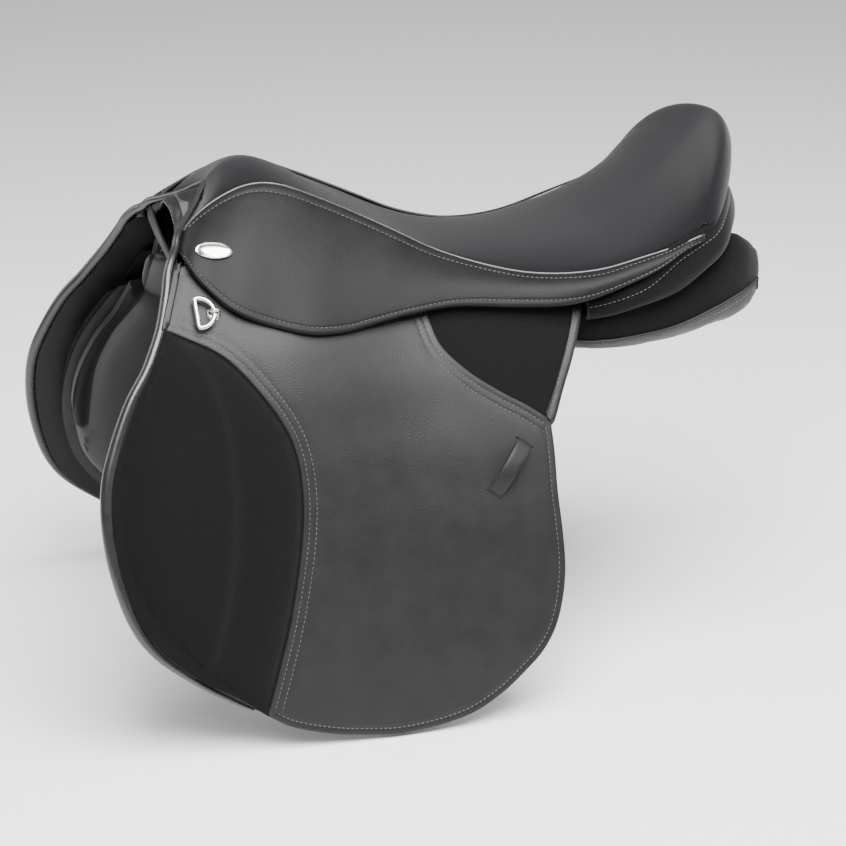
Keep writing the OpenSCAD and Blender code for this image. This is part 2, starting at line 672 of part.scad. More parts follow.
// ---- panel cushion: sections along the saddle with four corners [x, z] each ----
// [y, inner top, outer top, outer bottom, inner bottom]
panel_at = [
  [-240, 54, 68, 86, 38, 84, 28, 48, 58], [-232, 46, 74, 94, 32, 91, 14, 36, 62],
  [-200, 42, 73, 98, 25, 92, 0, 31, 57], [-150, 38, 68, 92, 21, 89, -6, 30, 52],
  [-100, 37, 60, 77, 22, 82, -10, 30, 40], [-50, 38, 48, 72, 22, 88, -10, 32, 28],
  [0, 38, 42, 76, 24, 92, -8, 34, 20], [25, 38, 40, 82, 25, 98, -7, 34, 18],
  [50, 38, 40, 86, 26, 103, -8, 34, 17], [76, 39, 43, 95, 29, 109, -10, 34, 17],
  [102, 40, 48, 108, 33, 115, -10, 34, 19], [150, 44, 60, 108, 45, 113, -6, 36, 24],
  [187, 52, 80, 103, 64, 109, 2, 44, 30], [213, 60, 84, 94, 72, 103, 12, 54, 34],
  [226, 68, 76, 86, 66, 95, 24, 63, 42], [233, 76, 66, 82, 60, 86, 40, 74, 50]
];
panel_ring = 20;
function panel_section(u) =
  let(s = curve(panel_at, u))
  [for (k = [0 : panel_ring - 1])
    let(a = 360 * (k + 0.5) / panel_ring + 180, c = cos(a), e = sin(a),
        x = 0.5 + 0.5 * sign(c) * pow(abs(c), 0.62), z = 0.5 - 0.5 * sign(e) * pow(abs(e), 0.62),
        top = mix([s[1], s[2]], [s[3], s[4]], x), low = mix([s[7], s[8]], [s[5], s[6]], x),
        p = mix(low, top, z)) [p[0], s[0], p[1]]];
module panel() {
  n = len(panel_at) - 1;
  color(panel_leather) loft([for (i = [0 : 2 * n]) panel_section(i / 2)]);
}

// ---- what is drawn ----
tree();
gullet_plate();
gullet_screws();
seat_webs();
seat_foam();
seat_cover();
pommel_welt();
cantle_band();
seat_piping();  // seat_piping_near
other_side() seat_piping();  // seat_piping_off
stirrup_bar();  // stirrup_bar_near
other_side() stirrup_bar();  // stirrup_bar_off
bar_rivets();  // bar_rivets_near
other_side() bar_rivets();  // bar_rivets_off
bar_catch();  // bar_catch_near
other_side() bar_catch();  // bar_catch_off
skirt_head();  // skirt_head_near
other_side() skirt_head();  // skirt_head_off
skirt();  // skirt_near
other_side() skirt();  // skirt_off
badge();  // badge_near
other_side() badge();  // badge_off
flap_head();  // flap_head_near
other_side() flap_head();  // flap_head_off
flap();  // flap_near
other_side() flap();  // flap_off
knee_suede();  // knee_suede_near
other_side() knee_suede();  // knee_suede_off
rear_suede();  // rear_suede_near
other_side() rear_suede();  // rear_suede_off
front_roll();  // front_roll_near
other_side() front_roll();  // front_roll_off
keeper();  // keeper_near
other_side() keeper();  // keeper_off
dee_stud();  // dee_stud_near
other_side() dee_stud();  // dee_stud_off
dee_ring();  // dee_ring_near
other_side() dee_ring();  // dee_ring_off
girth_web();  // girth_web_near
other_side() girth_web();  // girth_web_off
strap(0, 7);  // front_strap_near
other_side() strap(0, 7);  // front_strap_off
strap(1, 7);  // rear_strap_near
other_side() strap(1, 7);  // rear_strap_off
knee_block();  // knee_block_near
other_side() knee_block();  // knee_block_off
thigh_block();  // thigh_block_near
other_side() thigh_block();  // thigh_block_off
sweat_flap();  // sweat_flap_near
other_side() sweat_flap();  // sweat_flap_off
point_pocket();  // point_pocket_near
other_side() point_pocket();  // point_pocket_off
panel_leg();  // panel_leg_near
other_side() panel_leg();  // panel_leg_off
panel();  // panel_near
other_side() panel();  // panel_off
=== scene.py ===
"""Looks of the english saddle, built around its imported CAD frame.

Shapes are worked out in millimetres in the frame's own axes: pommel toward -Y, cantle toward +Y,
near side toward +X, up +Z. Each side piece is drawn once, for the near side, and mirrored for the off side.
"""

import math

import bmesh
import bpy
import numpy as np
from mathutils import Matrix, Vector
from mathutils.bvhtree import BVHTree
from mathutils.geometry import delaunay_2d_cdt


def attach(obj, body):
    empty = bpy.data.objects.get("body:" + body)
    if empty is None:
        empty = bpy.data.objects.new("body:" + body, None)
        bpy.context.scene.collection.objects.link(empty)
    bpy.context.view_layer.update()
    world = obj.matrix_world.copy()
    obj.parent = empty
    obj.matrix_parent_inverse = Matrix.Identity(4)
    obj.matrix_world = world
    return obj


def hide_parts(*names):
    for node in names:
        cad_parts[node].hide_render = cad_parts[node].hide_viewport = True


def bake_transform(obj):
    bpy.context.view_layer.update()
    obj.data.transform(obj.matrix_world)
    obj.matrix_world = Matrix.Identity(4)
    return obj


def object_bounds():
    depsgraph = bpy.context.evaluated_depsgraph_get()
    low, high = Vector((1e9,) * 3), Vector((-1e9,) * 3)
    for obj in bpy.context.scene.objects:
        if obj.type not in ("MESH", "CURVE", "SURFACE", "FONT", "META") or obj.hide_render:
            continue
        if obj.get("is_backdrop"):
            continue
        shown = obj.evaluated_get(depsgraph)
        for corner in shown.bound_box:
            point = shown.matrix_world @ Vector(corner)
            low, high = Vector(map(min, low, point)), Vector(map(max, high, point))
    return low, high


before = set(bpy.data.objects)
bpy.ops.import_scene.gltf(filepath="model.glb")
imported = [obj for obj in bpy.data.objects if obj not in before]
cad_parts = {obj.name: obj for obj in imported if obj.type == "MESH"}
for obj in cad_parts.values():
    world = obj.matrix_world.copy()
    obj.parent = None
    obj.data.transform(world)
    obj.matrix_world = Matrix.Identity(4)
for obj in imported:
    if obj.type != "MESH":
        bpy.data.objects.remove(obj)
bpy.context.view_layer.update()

MM = 0.001
SIDES = (("near", 1), ("off", -1))


# ---- numbers and curves ----
def mix(a, b, t):
    return a + (b - a) * t


def smooth(a, b, v):
    t = np.clip((np.asarray(v, float) - a) / (b - a), 0, 1)
    return t * t * (3 - 2 * t)


def dome(t):
    """0 at t 0, 1 from t 1, round in between."""
    t = np.clip(t, 0, 1)
    return np.sqrt(1 - (1 - t) ** 2)


def unit(v):
    v = np.asarray(v, float)
    return v / np.maximum(np.linalg.norm(v, axis=-1, keepdims=True), 1e-9)


def curve(points, u):
    """Points at u along a smooth curve through the given points."""
    p = np.asarray(points, float)
    n = len(p) - 1
    u = np.asarray(u, float)
    i = np.clip(np.floor(u).astype(int), 0, n - 1)
    t = (u - i)[..., None]
    b, c = p[i], p[i + 1]
    a = np.where((i > 0)[..., None], p[np.maximum(i - 1, 0)], 2 * b - c)
    d = np.where((i + 2 <= n)[..., None], p[np.minimum(i + 2, n)], 2 * c - b)
    cubic = 3 * b - a - 3 * c + d
    return 0.5 * (2 * b + (c - a) * t + (2 * a - 5 * b + 4 * c - d) * t**2 + cubic * t**3)


def even(points, step, smooth_it=True):
    """The curve through the points, as points about step apart."""
    p = np.asarray(points, float)
    if smooth_it and len(p) > 2:
        p = curve(p, np.linspace(0, len(p) - 1, 24 * (len(p) - 1) + 1))
    run = np.r_[0, np.cumsum(np.linalg.norm(np.diff(p, axis=0), axis=1))]
    n = max(1, int(round(run[-1] / step)))
    at = np.linspace(0, run[-1], n + 1)
    return np.stack([np.interp(at, run, p[:, k]) for k in range(p.shape[1])], axis=1)


# ---- the saddle's surfaces ----
SIDE_FRONT = [(-300, 218), (-250, 212), (-200, 204), (-150, 194), (-100, 182), (-50, 166),
              (0, 146), (30, 130), (55, 111), (75, 93), (92, 75), (106, 55), (120, 30), (130, 0)]
SIDE_WAIST = [(-300, 218), (-250, 212), (-200, 204), (-150, 192), (-100, 177), (-50, 156),
              (0, 129), (20, 115), (40, 98), (60, 79), (90, 52), (130, 10)]
WAIST_FRONT, WAIST_BACK = -175, -50
BLUR = np.linspace(-15, 15, 9)
BLUR_SHARE = np.cos(BLUR / 15 * math.pi / 2) + 0.15


def soft(z, table):
    zs, xs = zip(*table)
    z = np.asarray(z, float)
    total = sum(w * np.interp(z + d, zs, xs) for d, w in zip(BLUR, BLUR_SHARE))
    return total / BLUR_SHARE.sum()


def side_x(y, z):
    """Distance of the flap's outer face from the centre plane."""
    return mix(soft(z, SIDE_FRONT), soft(z, SIDE_WAIST), smooth(WAIST_FRONT, WAIST_BACK, y))


def side_n(y, z):
    dy = (side_x(y - 3, z) - side_x(y + 3, z)) / 6
    dz = (side_x(y, z - 3) - side_x(y, z + 3)) / 6
    return unit(np.stack([np.ones_like(dy), dy, dz], axis=-1))


def side_pt(y, z, d):
    """Points at depth d outside the flap's outer face."""
    y, z = np.asarray(y, float), np.asarray(z, float)
    d = np.asarray(d, float) + 0 * y
    return np.stack([side_x(y, z), y, z], axis=-1) + d[..., None] * side_n(y, z)


# the seat: [centre y, centre z, edge x, edge y, edge z, roundness across]
SEAT = [
    (-203, 127, 50, -232, 98, 1.05), (-197, 137, 46, -223, 109, 1.2),
    (-184, 146, 43, -207, 122, 1.5), (-166, 148, 40, -185, 132, 1.8),
    (-142, 139, 38, -158, 135, 2), (-112, 121, 40, -124, 123, 2),
    (-80, 103, 46, -90, 108, 2), (-48, 87, 54, -56, 90, 2.1), (-15, 78, 64, -20, 73, 2.2),
    (20, 73, 76, 17, 62, 2.2), (54, 72, 89, 50, 58, 2.2), (88, 74, 99, 84, 62, 2.2),
    (120, 80, 104, 114, 69, 2.2), (150, 94, 107, 139, 76, 2.2),
    (176, 114, 108, 157, 81, 2.2), (200, 140, 108, 167, 83, 2.2),
    (218, 159, 107, 173, 84, 2.2), (228, 150, 107, 177, 85, 2.2),
    (228, 130, 107, 180, 87, 2.2), (222, 110, 107, 182, 88, 2.2),
]


def seat_pt(u, t):
    s = curve(SEAT, u)
    a = np.abs(t)
    k = a ** s[..., 5]
    share = 0.35 * smooth(7, 12, u)
    drop = mix(k, 1 - np.sqrt(np.clip(1 - k * k, 0, 1)), share)
    return np.stack([
        np.sign(t) * s[..., 2] * mix(np.sin(np.pi / 2 * a), a, 0.6),
        mix(s[..., 0], s[..., 3], a**1.6),
        mix(s[..., 1], s[..., 4], drop),
    ], axis=-1)


# the skirt: top edge along the piping and lower edge, [x, y, z, x, y, z]
SKIRT = [
    (48, -231, 102, 54, -236, 96), (44, -218, 116, 87, -234, 90),
    (40, -196, 129, 103, -222, 74.5), (38, -173, 136, 117, -204, 60),
    (39, -150, 134, 123, -176, 48), (42, -120, 122, 127, -148, 41),
    (47, -90, 108, 123, -122, 39), (54, -62, 94, 117, -98, 41), (62, -32, 79, 111, -70, 44),
    (71, 0, 68, 106, -30, 46), (82, 33, 61, 109, 18, 42), (92, 65, 60, 114, 51, 41),
    (101, 94, 64, 116, 75, 44), (105, 120, 71, 119, 102, 53), (108, 145, 78, 120, 131, 65),
    (108, 161, 83, 116, 155, 78), (107, 174, 87, 109, 175, 83),
]
SKIRT_BULGE = 6
SKIRT_T = 4
SKIRT_CREASE = 14
SKIRT_AXIS_A = np.array([60, -222, 115.0])
SKIRT_AXIS_B = np.array([96, 34, 59.0])
SKIRT_OUT = unit([0.62, 0, 0.78])


def skirt_top(u):
    return curve(SKIRT, u)[..., :3]


def skirt_low(u):
    return curve(SKIRT, u)[..., 3:]


def skirt_pt(u, w):
    a, b = skirt_top(u), skirt_low(u)
    c = b - a
    n = unit(np.stack([c[..., 2], 0 * c[..., 0], -c[..., 0]], axis=-1))
    swell = SKIRT_BULGE * np.sin(np.pi * w) * smooth(0, 3, u) * smooth(16, 12, u)
    return mix(a, b, np.asarray(w)[..., None]) - n * np.asarray(swell)[..., None]


# ---- outlines on the side, as (y, z) runs ----
FLAP_BOTTOM = [(-208, -229), (-192, -239), (-172, -246), (-150, -251), (-128, -254), (-108, -256),
               (-88, -255), (-66, -252), (-44, -246), (-22, -234), (-4, -220), (12, -205),
               (24, -186), (31, -163), (34, -141), (34, -117), (33, -90), (34, -62), (34, -42)]
FLAP_REAR = [(34, -42), (38, -38), (49, -16), (61, 6), (72, 28), (75, 36)]
FLAP_HEAD = [(75, 36), (50, 40), (20, 42), (-20, 45), (-60, 48), (-92, 50), (-122, 50),
             (-152, 53), (-174, 65), (-198, 80), (-221, 88), (-241, 89)]
KNEE_REAR = [(-260, 50), (-248, 45), (-217, 29), (-191, 0), (-174, -30), (-169, -64), (-173, -104),
             (-185, -157), (-197, -196), (-208, -229)]
KNEE_STITCH = [(-258, 45), (-277, 13), (-292, -14), (-301, -42), (-305, -75), (-302, -107),
               (-291, -135), (-274, -161), (-253, -187), (-230, -207), (-208, -223)]
RIDGE = [(-250, 45), (-235, 19), (-225, -20), (-224, -59), (-228, -99), (-236, -139),
         (-245, -169), (-253, -188)]
WEDGE_EDGE = [(-51, 48), (-48, 30), (-42, 16), (-24, -1), (-3, -15), (18, -27), (34, -38)]
ROLL = [(-277, 24, 4.4), (-291.8, 4, 4.6), (-306, -25, 4.8), (-315, -52, 4.8), (-317, -83, 4.8),
        (-313, -116, 4.6), (-303, -150, 4.2), (-287, -175, 3.4), (-259, -198.5, 2.4),
        (-234, -215, 1.8), (-218, -224, 1.2)]
ROLL_TOP = [(-251.5, 74, 4), (-260, 53, 4.2), (-269.5, 36, 4.3)]
WELT = [(0, -200, 130, 2.6), (5, -203.5, 127.5, 2.6), (12, -208, 123.5, 2.6), (20, -213, 118.5, 2.7),
        (29, -219.5, 114, 2.8), (40, -226.5, 109, 2.9), (53, -234, 104, 3.1), (63, -238, 97, 3.3),
        (72, -243, 92, 3.6), (82, -248, 83.5, 3.8)]
# the flap's bend line, between these two heights below its sewn head; nothing here bends it, settle only
# bakes the pieces in place
HINGE_X, HINGE_Y = 130, -150
HINGE_TOP, HINGE_LOW = 40, 18


# ---- materials ----
def node_tree(mat):
    mat.use_nodes = True
    nodes = mat.node_tree.nodes
    return nodes, mat.node_tree.links, nodes["Principled BSDF"]


def add(nodes, kind, **values):
    n = nodes.new(kind)
    for key, value in values.items():
        n.inputs[key].default_value = value
    return n


def ramp(nodes, stops):
    r = nodes.new("ShaderNodeValToRGB")
    for k, (at, c) in enumerate(stops):
        e = r.color_ramp.elements[k] if k < 2 else r.color_ramp.elements.new(at)
        e.position = at
        e.color = (*c, 1)
    return r


def finish_of(name, low, high, rough, grain, spread=60, sheen=0.0, coat=0.0, spec=0.5, metal=0.0):
    """A surface whose colour drifts between low and high. rough is (least, most), and grain is
    (kind, scale per metre, bump height in metres)."""
    mat = bpy.data.materials.new(name)
    nodes, links, bsdf = node_tree(mat)
    where = nodes.new("ShaderNodeTexCoord")
    drift = add(nodes, "ShaderNodeTexNoise", Scale=spread, Detail=4.0, Roughness=0.6)
    links.new(where.outputs["Object"], drift.inputs["Vector"])
    tint = ramp(nodes, [(0.32, low), (0.7, high)])
    links.new(drift.outputs["Fac"], tint.inputs["Fac"])
    links.new(tint.outputs["Color"], bsdf.inputs["Base Color"])
    gloss = nodes.new("ShaderNodeMapRange")
    gloss.inputs["From Min"].default_value = 0.3
    gloss.inputs["From Max"].default_value = 0.7
    gloss.inputs["To Min"].default_value = rough[0]
    gloss.inputs["To Max"].default_value = rough[1]
    kind, scale, height = grain
    if kind == "pebble":
        cells = add(nodes, "ShaderNodeTexVoronoi", Scale=scale, Randomness=1.0)
        cells.feature = "SMOOTH_F1"
        cells.inputs["Smoothness"].default_value = 0.5
        source = cells.outputs["Distance"]
    else:
        cells = add(nodes, "ShaderNodeTexNoise", Scale=scale, Detail=6.0, Roughness=0.7)
        source = cells.outputs["Fac"]
    links.new(where.outputs["Object"], cells.inputs["Vector"])
    links.new(drift.outputs["Fac"], gloss.inputs["Value"])
    links.new(gloss.outputs["Result"], bsdf.inputs["Roughness"])
    bump = add(nodes, "ShaderNodeBump", Strength=1.0, Distance=height)
    links.new(source, bump.inputs["Height"])
    links.new(bump.outputs["Normal"], bsdf.inputs["Normal"])
    bsdf.inputs["Sheen Weight"].default_value = sheen
    bsdf.inputs["Sheen Roughness"].default_value = 0.45
    bsdf.inputs["Coat Weight"].default_value = coat
    bsdf.inputs["Coat Roughness"].default_value = 0.18
    bsdf.inputs["Specular IOR Level"].default_value = spec
    bsdf.inputs["Metallic"].default_value = metal
    return mat


def suede_of(name, low, high, fleck):
    """Napped microfibre: broad brushed patches, fine flecks and a soft sheen."""
    mat = finish_of(name, low, high, (0.85, 0.98), ("nap", 2200, 0.00014), spread=22, sheen=0.12,
                    spec=0.1)
    nodes, links, bsdf = node_tree(mat)
    where = nodes.new("ShaderNodeTexCoord")
    fine = add(nodes, "ShaderNodeTexNoise", Scale=1900.0, Detail=2.0)
    links.new(where.outputs["Object"], fine.inputs["Vector"])
    spots = ramp(nodes, [(0.5, (0, 0, 0)), (0.72, (1, 1, 1))])
    links.new(fine.outputs["Fac"], spots.inputs["Fac"])
    blend = nodes.new("ShaderNodeMix")
    blend.data_type = "RGBA"
    links.new(spots.outputs["Color"], blend.inputs["Factor"])
    links.new(bsdf.inputs["Base Color"].links[0].from_socket, blend.inputs["A"])
    blend.inputs["B"].default_value = (*fleck, 1)
    links.new(blend.outputs["Result"], bsdf.inputs["Base Color"])
    return mat


def woven(name, low, high):
    """Flat woven webbing."""
    mat = finish_of(name, low, high, (0.8, 0.92), ("nap", 900, 0.0001), sheen=0.2)
    nodes, links, bsdf = node_tree(mat)
    where = nodes.new("ShaderNodeTexCoord")
    rows = add(nodes, "ShaderNodeTexWave", Scale=220.0, Distortion=0.4)
    rows.bands_direction = "Y"
    ribs = add(nodes, "ShaderNodeTexWave", Scale=160.0, Distortion=0.3)
    ribs.bands_direction = "DIAGONAL"
    both = nodes.new("ShaderNodeMath")
    both.operation = "MULTIPLY"
    for tex, k in ((rows, 0), (ribs, 1)):
        links.new(where.outputs["Object"], tex.inputs["Vector"])
        links.new(tex.outputs["Fac"], both.inputs[k])
    bump = add(nodes, "ShaderNodeBump", Strength=1.0, Distance=0.0004)
    links.new(both.outputs["Value"], bump.inputs["Height"])
    links.new(bump.outputs["Normal"], bsdf.inputs["Normal"])
    return mat


LEATHER = finish_of("leather", (0.0045, 0.0045, 0.005), (0.0075, 0.0075, 0.008), (0.44, 0.48),
                    ("pebble", 1100, 0.00016), spread=45, spec=0.3)
SKIRT_LEATHER = finish_of("skirt_leather", (0.005, 0.005, 0.0055), (0.008, 0.008, 0.0085), (0.46, 0.52),
                          ("pebble", 1100, 0.00014), spread=45, spec=0.14)
EDGE_LEATHER = finish_of("edge_leather", (0.004, 0.004, 0.0045), (0.007, 0.007, 0.0075), (0.42, 0.55),
                         ("pebble", 1300, 0.0001), spec=0.3)
ROLL_LEATHER = finish_of("roll_leather", (0.007, 0.007, 0.008), (0.011, 0.0115, 0.012), (0.24, 0.32),
                         ("pebble", 1500, 0.00005), coat=0.3)
PANEL_LEATHER = finish_of("panel_leather", (0.006, 0.0065, 0.006), (0.010, 0.011, 0.010), (0.42, 0.52),
                          ("pebble", 1300, 0.00008), spread=30)
SEAT_SUEDE = suede_of("seat_suede", (0.0036, 0.0033, 0.0040), (0.0056, 0.0051, 0.0062),
                      (0.014, 0.013, 0.0155))
KNEE_SUEDE = suede_of("knee_suede", (0.0012, 0.0011, 0.0012), (0.0024, 0.0022, 0.0025),
                      (0.008, 0.0076, 0.0085))
THREAD = finish_of("thread", (0.045, 0.045, 0.048), (0.075, 0.075, 0.08), (0.5, 0.7),
                   ("nap", 2500, 0.0001), sheen=0.1)
DARK_THREAD = finish_of("dark_thread", (0.02, 0.02, 0.021), (0.04, 0.04, 0.042), (0.5, 0.7),
                        ("nap", 2500, 0.0001), sheen=0.1)
NICKEL = finish_of("nickel", (0.60, 0.58, 0.54), (0.72, 0.70, 0.65), (0.10, 0.2), ("nap", 400, 0.00003),
                   metal=1.0)
STEEL = finish_of("steel", (0.38, 0.38, 0.40), (0.52, 0.52, 0.54), (0.28, 0.42), ("nap", 700, 0.00008),
                  metal=1.0)
POLYMER = finish_of("polymer", (0.02, 0.02, 0.022), (0.032, 0.032, 0.035), (0.5, 0.62),
                    ("nap", 900, 0.0001))
WEBBING = woven("webbing", (0.42, 0.40, 0.35), (0.55, 0.53, 0.47))


# ---- meshes ----
def add_mesh(name, verts, faces, mat, side=1, sharp=50):
    v = np.array(verts, float) * MM
    v[:, 0] *= side
    me = bpy.data.meshes.new(name)
    me.from_pydata(v.tolist(), [], [[int(i) for i in f] for f in faces])
    bm = bmesh.new()
    bm.from_mesh(me)
    bmesh.ops.remove_doubles(bm, verts=bm.verts, dist=1e-6)
    bmesh.ops.recalc_face_normals(bm, faces=bm.faces)
    for f in bm.faces:
        f.smooth = True
    for e in bm.edges:
        e.smooth = e.calc_face_angle(0) < math.radians(sharp)
    bm.to_mesh(me)
    bm.free()
    me.materials.append(mat)
    obj = bpy.data.objects.new(name, me)
    bpy.context.collection.objects.link(obj)
    return obj


def grid_faces(rows, cols, start=0, wrap=False):
    last = cols if wrap else cols - 1
    return [(start + i * cols + j, start + i * cols + (j + 1) % cols,
             start + (i + 1) * cols + (j + 1) % cols, start + (i + 1) * cols + j)
            for i in range(rows - 1) for j in range(last)]


def ring_faces(rows, cols):
    """Faces of a closed tube whose last ring joins its first."""
    last = (rows - 1) * cols
    closing = [(last + j, last + (j + 1) % cols, (j + 1) % cols, j) for j in range(cols)]
    return grid_faces(rows, cols, wrap=True) + closing


def capped_faces(rows, cols):
    """Faces of an open tube with a cap at each end."""
    caps = [tuple(range(cols))[::-1], tuple((rows - 1) * cols + j for j in range(cols))]
    return grid_faces(rows, cols, wrap=True) + caps


def rim_of(rows, cols):
    return ([j for j in range(cols)] + [i * cols + cols - 1 for i in range(1, rows)]
            + [(rows - 1) * cols + j for j in range(cols - 2, -1, -1)]
            + [i * cols for i in range(rows - 2, 0, -1)])


def slab(outer, inner):
    """Closed sheet between two grids of points: (vertices, faces)."""
    rows, cols = outer.shape[:2]
    m = rows * cols
    faces = grid_faces(rows, cols) + [f[::-1] for f in grid_faces(rows, cols, m)]
    rim = rim_of(rows, cols)
    faces += [(a, m + a, m + b, b) for a, b in zip(rim, rim[1:] + rim[:1])]
    return np.concatenate([outer.reshape(-1, 3), inner.reshape(-1, 3)]), faces


def grid_normals(p):
    di = np.gradient(p, axis=0)
    dj = np.gradient(p, axis=1)
    return unit(np.cross(di, dj))


TUBE_END_LONG = 0.7
TUBE_END_WIDE = 0.6


def tube(path, radii, sides=14):
    """Closed round tube along a path, with rounded ends: (vertices, faces)."""
    p = np.asarray(path, float)
    r = np.broadcast_to(np.asarray(radii, float), (len(p),)).copy()
    t = unit(np.gradient(p, axis=0))
    n = unit(np.cross(t[0], [0.31, 0.2, 1.0]))
    frames = []
    for k in range(len(p)):
        n = unit(n - np.dot(n, t[k]) * t[k])
        frames.append((n, np.cross(t[k], n)))
    start = (p[0] - t[0] * r[0] * TUBE_END_LONG, frames[0])
    end = (p[-1] + t[-1] * r[-1] * TUBE_END_LONG, frames[-1])
    rings = [start, *zip(p, frames), end]
    radius = [r[0] * TUBE_END_WIDE, *r, r[-1] * TUBE_END_WIDE]
    angle = np.arange(sides) * 2 * math.pi / sides
    verts = np.concatenate([
        c + q * (np.cos(angle)[:, None] * a + np.sin(angle)[:, None] * b)
        for (c, (a, b)), q in zip(rings, radius)])
    return verts, capped_faces(len(rings), sides)


def joined(parts):
    verts, faces, count = [], [], 0
    for v, f in parts:
        verts.append(v)
        faces += [tuple(i + count for i in face) for face in f]
        count += len(v)
    return np.concatenate(verts), faces


# ---- flat outlines filled with points ----
def to_segments(points, line, closed):
    """Distance from each point to a line, and which side of it the point is on."""
    a = np.asarray(line, float)
    b = np.roll(a, -1, axis=0)
    if not closed:
        a, b = a[:-1], b[:-1]
    d = b - a
    rel = points[:, None, :] - a[None]
    t = np.clip((rel * d).sum(-1) / np.maximum((d * d).sum(-1), 1e-9), 0, 1)
    gap = rel - t[..., None] * d
    dist = np.linalg.norm(gap, axis=-1)
    near = dist.argmin(axis=1)
    pick = np.arange(len(points))
    cross = d[near, 0] * rel[pick, near, 1] - d[near, 1] * rel[pick, near, 0]
    return dist[pick, near], np.sign(cross)


def inside(points, loop):
    a, b = loop, np.roll(loop, -1, axis=0)
    y, z = points[:, 0, None], points[:, 1, None]
    crosses = (a[:, 1] > z) != (b[:, 1] > z)
    with np.errstate(divide="ignore", invalid="ignore"):
        at = a[:, 0] + (z - a[:, 1]) * (b[:, 0] - a[:, 0]) / (b[:, 1] - a[:, 1])
    return ((y < at) & crosses).sum(axis=1) % 2 == 1


def loop_of(*runs, step=4.0):
    """A closed outline through smooth runs that meet at corners, turning counter-clockwise."""
    pts = np.concatenate([even(r, step)[:-1] for r in runs])
    area = np.sum(pts[:, 0] * np.roll(pts[:, 1], -1) - np.roll(pts[:, 0], -1) * pts[:, 1])
    return pts if area > 0 else pts[::-1]


def inset(line, d, closed):
    """The line moved to its left by d, without the points that come too near it."""
    t = unit(np.gradient(line, axis=0))
    if closed:
        t = unit(np.roll(line, -1, axis=0) - np.roll(line, 1, axis=0))
    p = line + d * np.stack([-t[:, 1], t[:, 0]], axis=1)
    dist, _ = to_segments(p, line, closed)
    return p[dist > 0.93 * abs(d)]


def fill(loop, rings, spacing):
    """Triangles over an outline, finer along its edge: (points, faces, edge distance)."""
    pts = [loop] + [inset(loop, d, True) for d in rings]
    lo, hi = loop.min(axis=0), loop.max(axis=0)
    rows = np.arange(lo[1], hi[1], spacing * 0.87)
    lines = []
    for k, z in enumerate(rows):
        across = np.arange(lo[0] + (k % 2) * spacing / 2, hi[0], spacing)
        lines.append(np.stack([across, 0 * across + z], axis=1))
    hexes = np.concatenate(lines)
    hexes = hexes[inside(hexes, loop)]
    dist, _ = to_segments(hexes, loop, True)
    pts.append(hexes[dist > (max(rings) if rings else 0) + spacing * 0.45])
    pts = np.concatenate(pts)
    keep = np.ones(len(pts), bool)
    keep[len(loop):] = inside(pts[len(loop):], loop)
    pts = pts[keep]
    n = len(loop)
    out = delaunay_2d_cdt([Vector(p) for p in pts], [(i, (i + 1) % n) for i in range(n)], [], 1, 1e-4)
    verts = np.array([tuple(v) for v in out[0]])
    order = {}
    for k, originals in enumerate(out[3]):
        for o in originals:
            order[o] = k
    dist, _ = to_segments(verts, loop, True)
    return verts, out[2], dist, [order[i] for i in range(n)]


EDGE_RINGS = (0.4, 1.0, 2.0, 3.4, 4.6, 5.2, 5.8, 7.2)


def side_sheet(loop, face, back, rings=EDGE_RINGS, spacing=7.0):
    """Closed sheet over an outline on the saddle's side: (vertices, faces).
    face(y, z, edge distance) is the depth of its detailed face, back that of its plain face."""
    fine, fine_faces, dist, fine_rim = fill(loop, rings, spacing)
    plain, plain_faces, _, plain_rim = fill(loop, (3.0,), 14.0)
    y, z = fine[:, 0], fine[:, 1]
    top = side_pt(y, z, face(y, z, dist))
    low = side_pt(plain[:, 0], plain[:, 1], np.zeros(len(plain)) + back)
    m = len(top)
    faces = [tuple(f) for f in fine_faces] + [tuple(m + i for i in f[::-1]) for f in plain_faces]
    n = len(fine_rim)
    for k in range(n):
        a, b = fine_rim[k], fine_rim[(k + 1) % n]
        c, d = m + plain_rim[k], m + plain_rim[(k + 1) % n]
        faces.append((b, a, c, d))
    return np.concatenate([top, low]), faces


def rounded(e, r):
    """Depth of a rounded edge of radius r at distance e from it."""
    return r * (dome(e / r) - 1)


def groove(e, at, depth=0.4, width=1.0):
    """The dent a row of stitches pulls in."""
    return -depth * np.exp(-(((e - at) / width) ** 2))


# ---- stitches ----
STITCH_PITCH = 3.7
STITCH_LEN = 2.7
STITCH_W = 0.75


def stitches(path, normals):
    """A row of thread stitches lying on a surface: (vertices, faces)."""
    p = np.asarray(path, float)
    n = np.asarray(normals, float)
    run = np.r_[0, np.cumsum(np.linalg.norm(np.diff(p, axis=0), axis=1))]
    count = int(run[-1] / STITCH_PITCH)
    at = (np.arange(count) + 0.5) * run[-1] / max(count, 1)
    parts = []
    for s in at:
        ends = [np.array([np.interp(v, run, p[:, k]) for k in range(3)])
                for v in (max(s - STITCH_LEN / 2, 0), min(s + STITCH_LEN / 2, run[-1]))]
        up = unit(np.array([np.interp(s, run, n[:, k]) for k in range(3)]))
        along = unit(ends[1] - ends[0])
        across = np.cross(up, along)
        rings = []
        for t, q in ((0.16, 0.8), (0.5, 1.0), (0.84, 0.8)):
            c = mix(ends[0], ends[1], t) + up * 0.12 * q
            rings += [c + STITCH_W / 2 * q * (math.cos(a) * across + math.sin(a) * up)
                      for a in (0, math.pi / 2, math.pi, 1.5 * math.pi)]
        verts = np.array([ends[0] - up * 0.25, *rings, ends[1] - up * 0.25])
        faces = [(0, 1 + (j + 1) % 4, 1 + j) for j in range(4)]
        faces += grid_faces(3, 4, 1, wrap=True)
        faces += [(13, 9 + j, 9 + (j + 1) % 4) for j in range(4)]
        parts.append((verts, faces))
    return joined(parts)


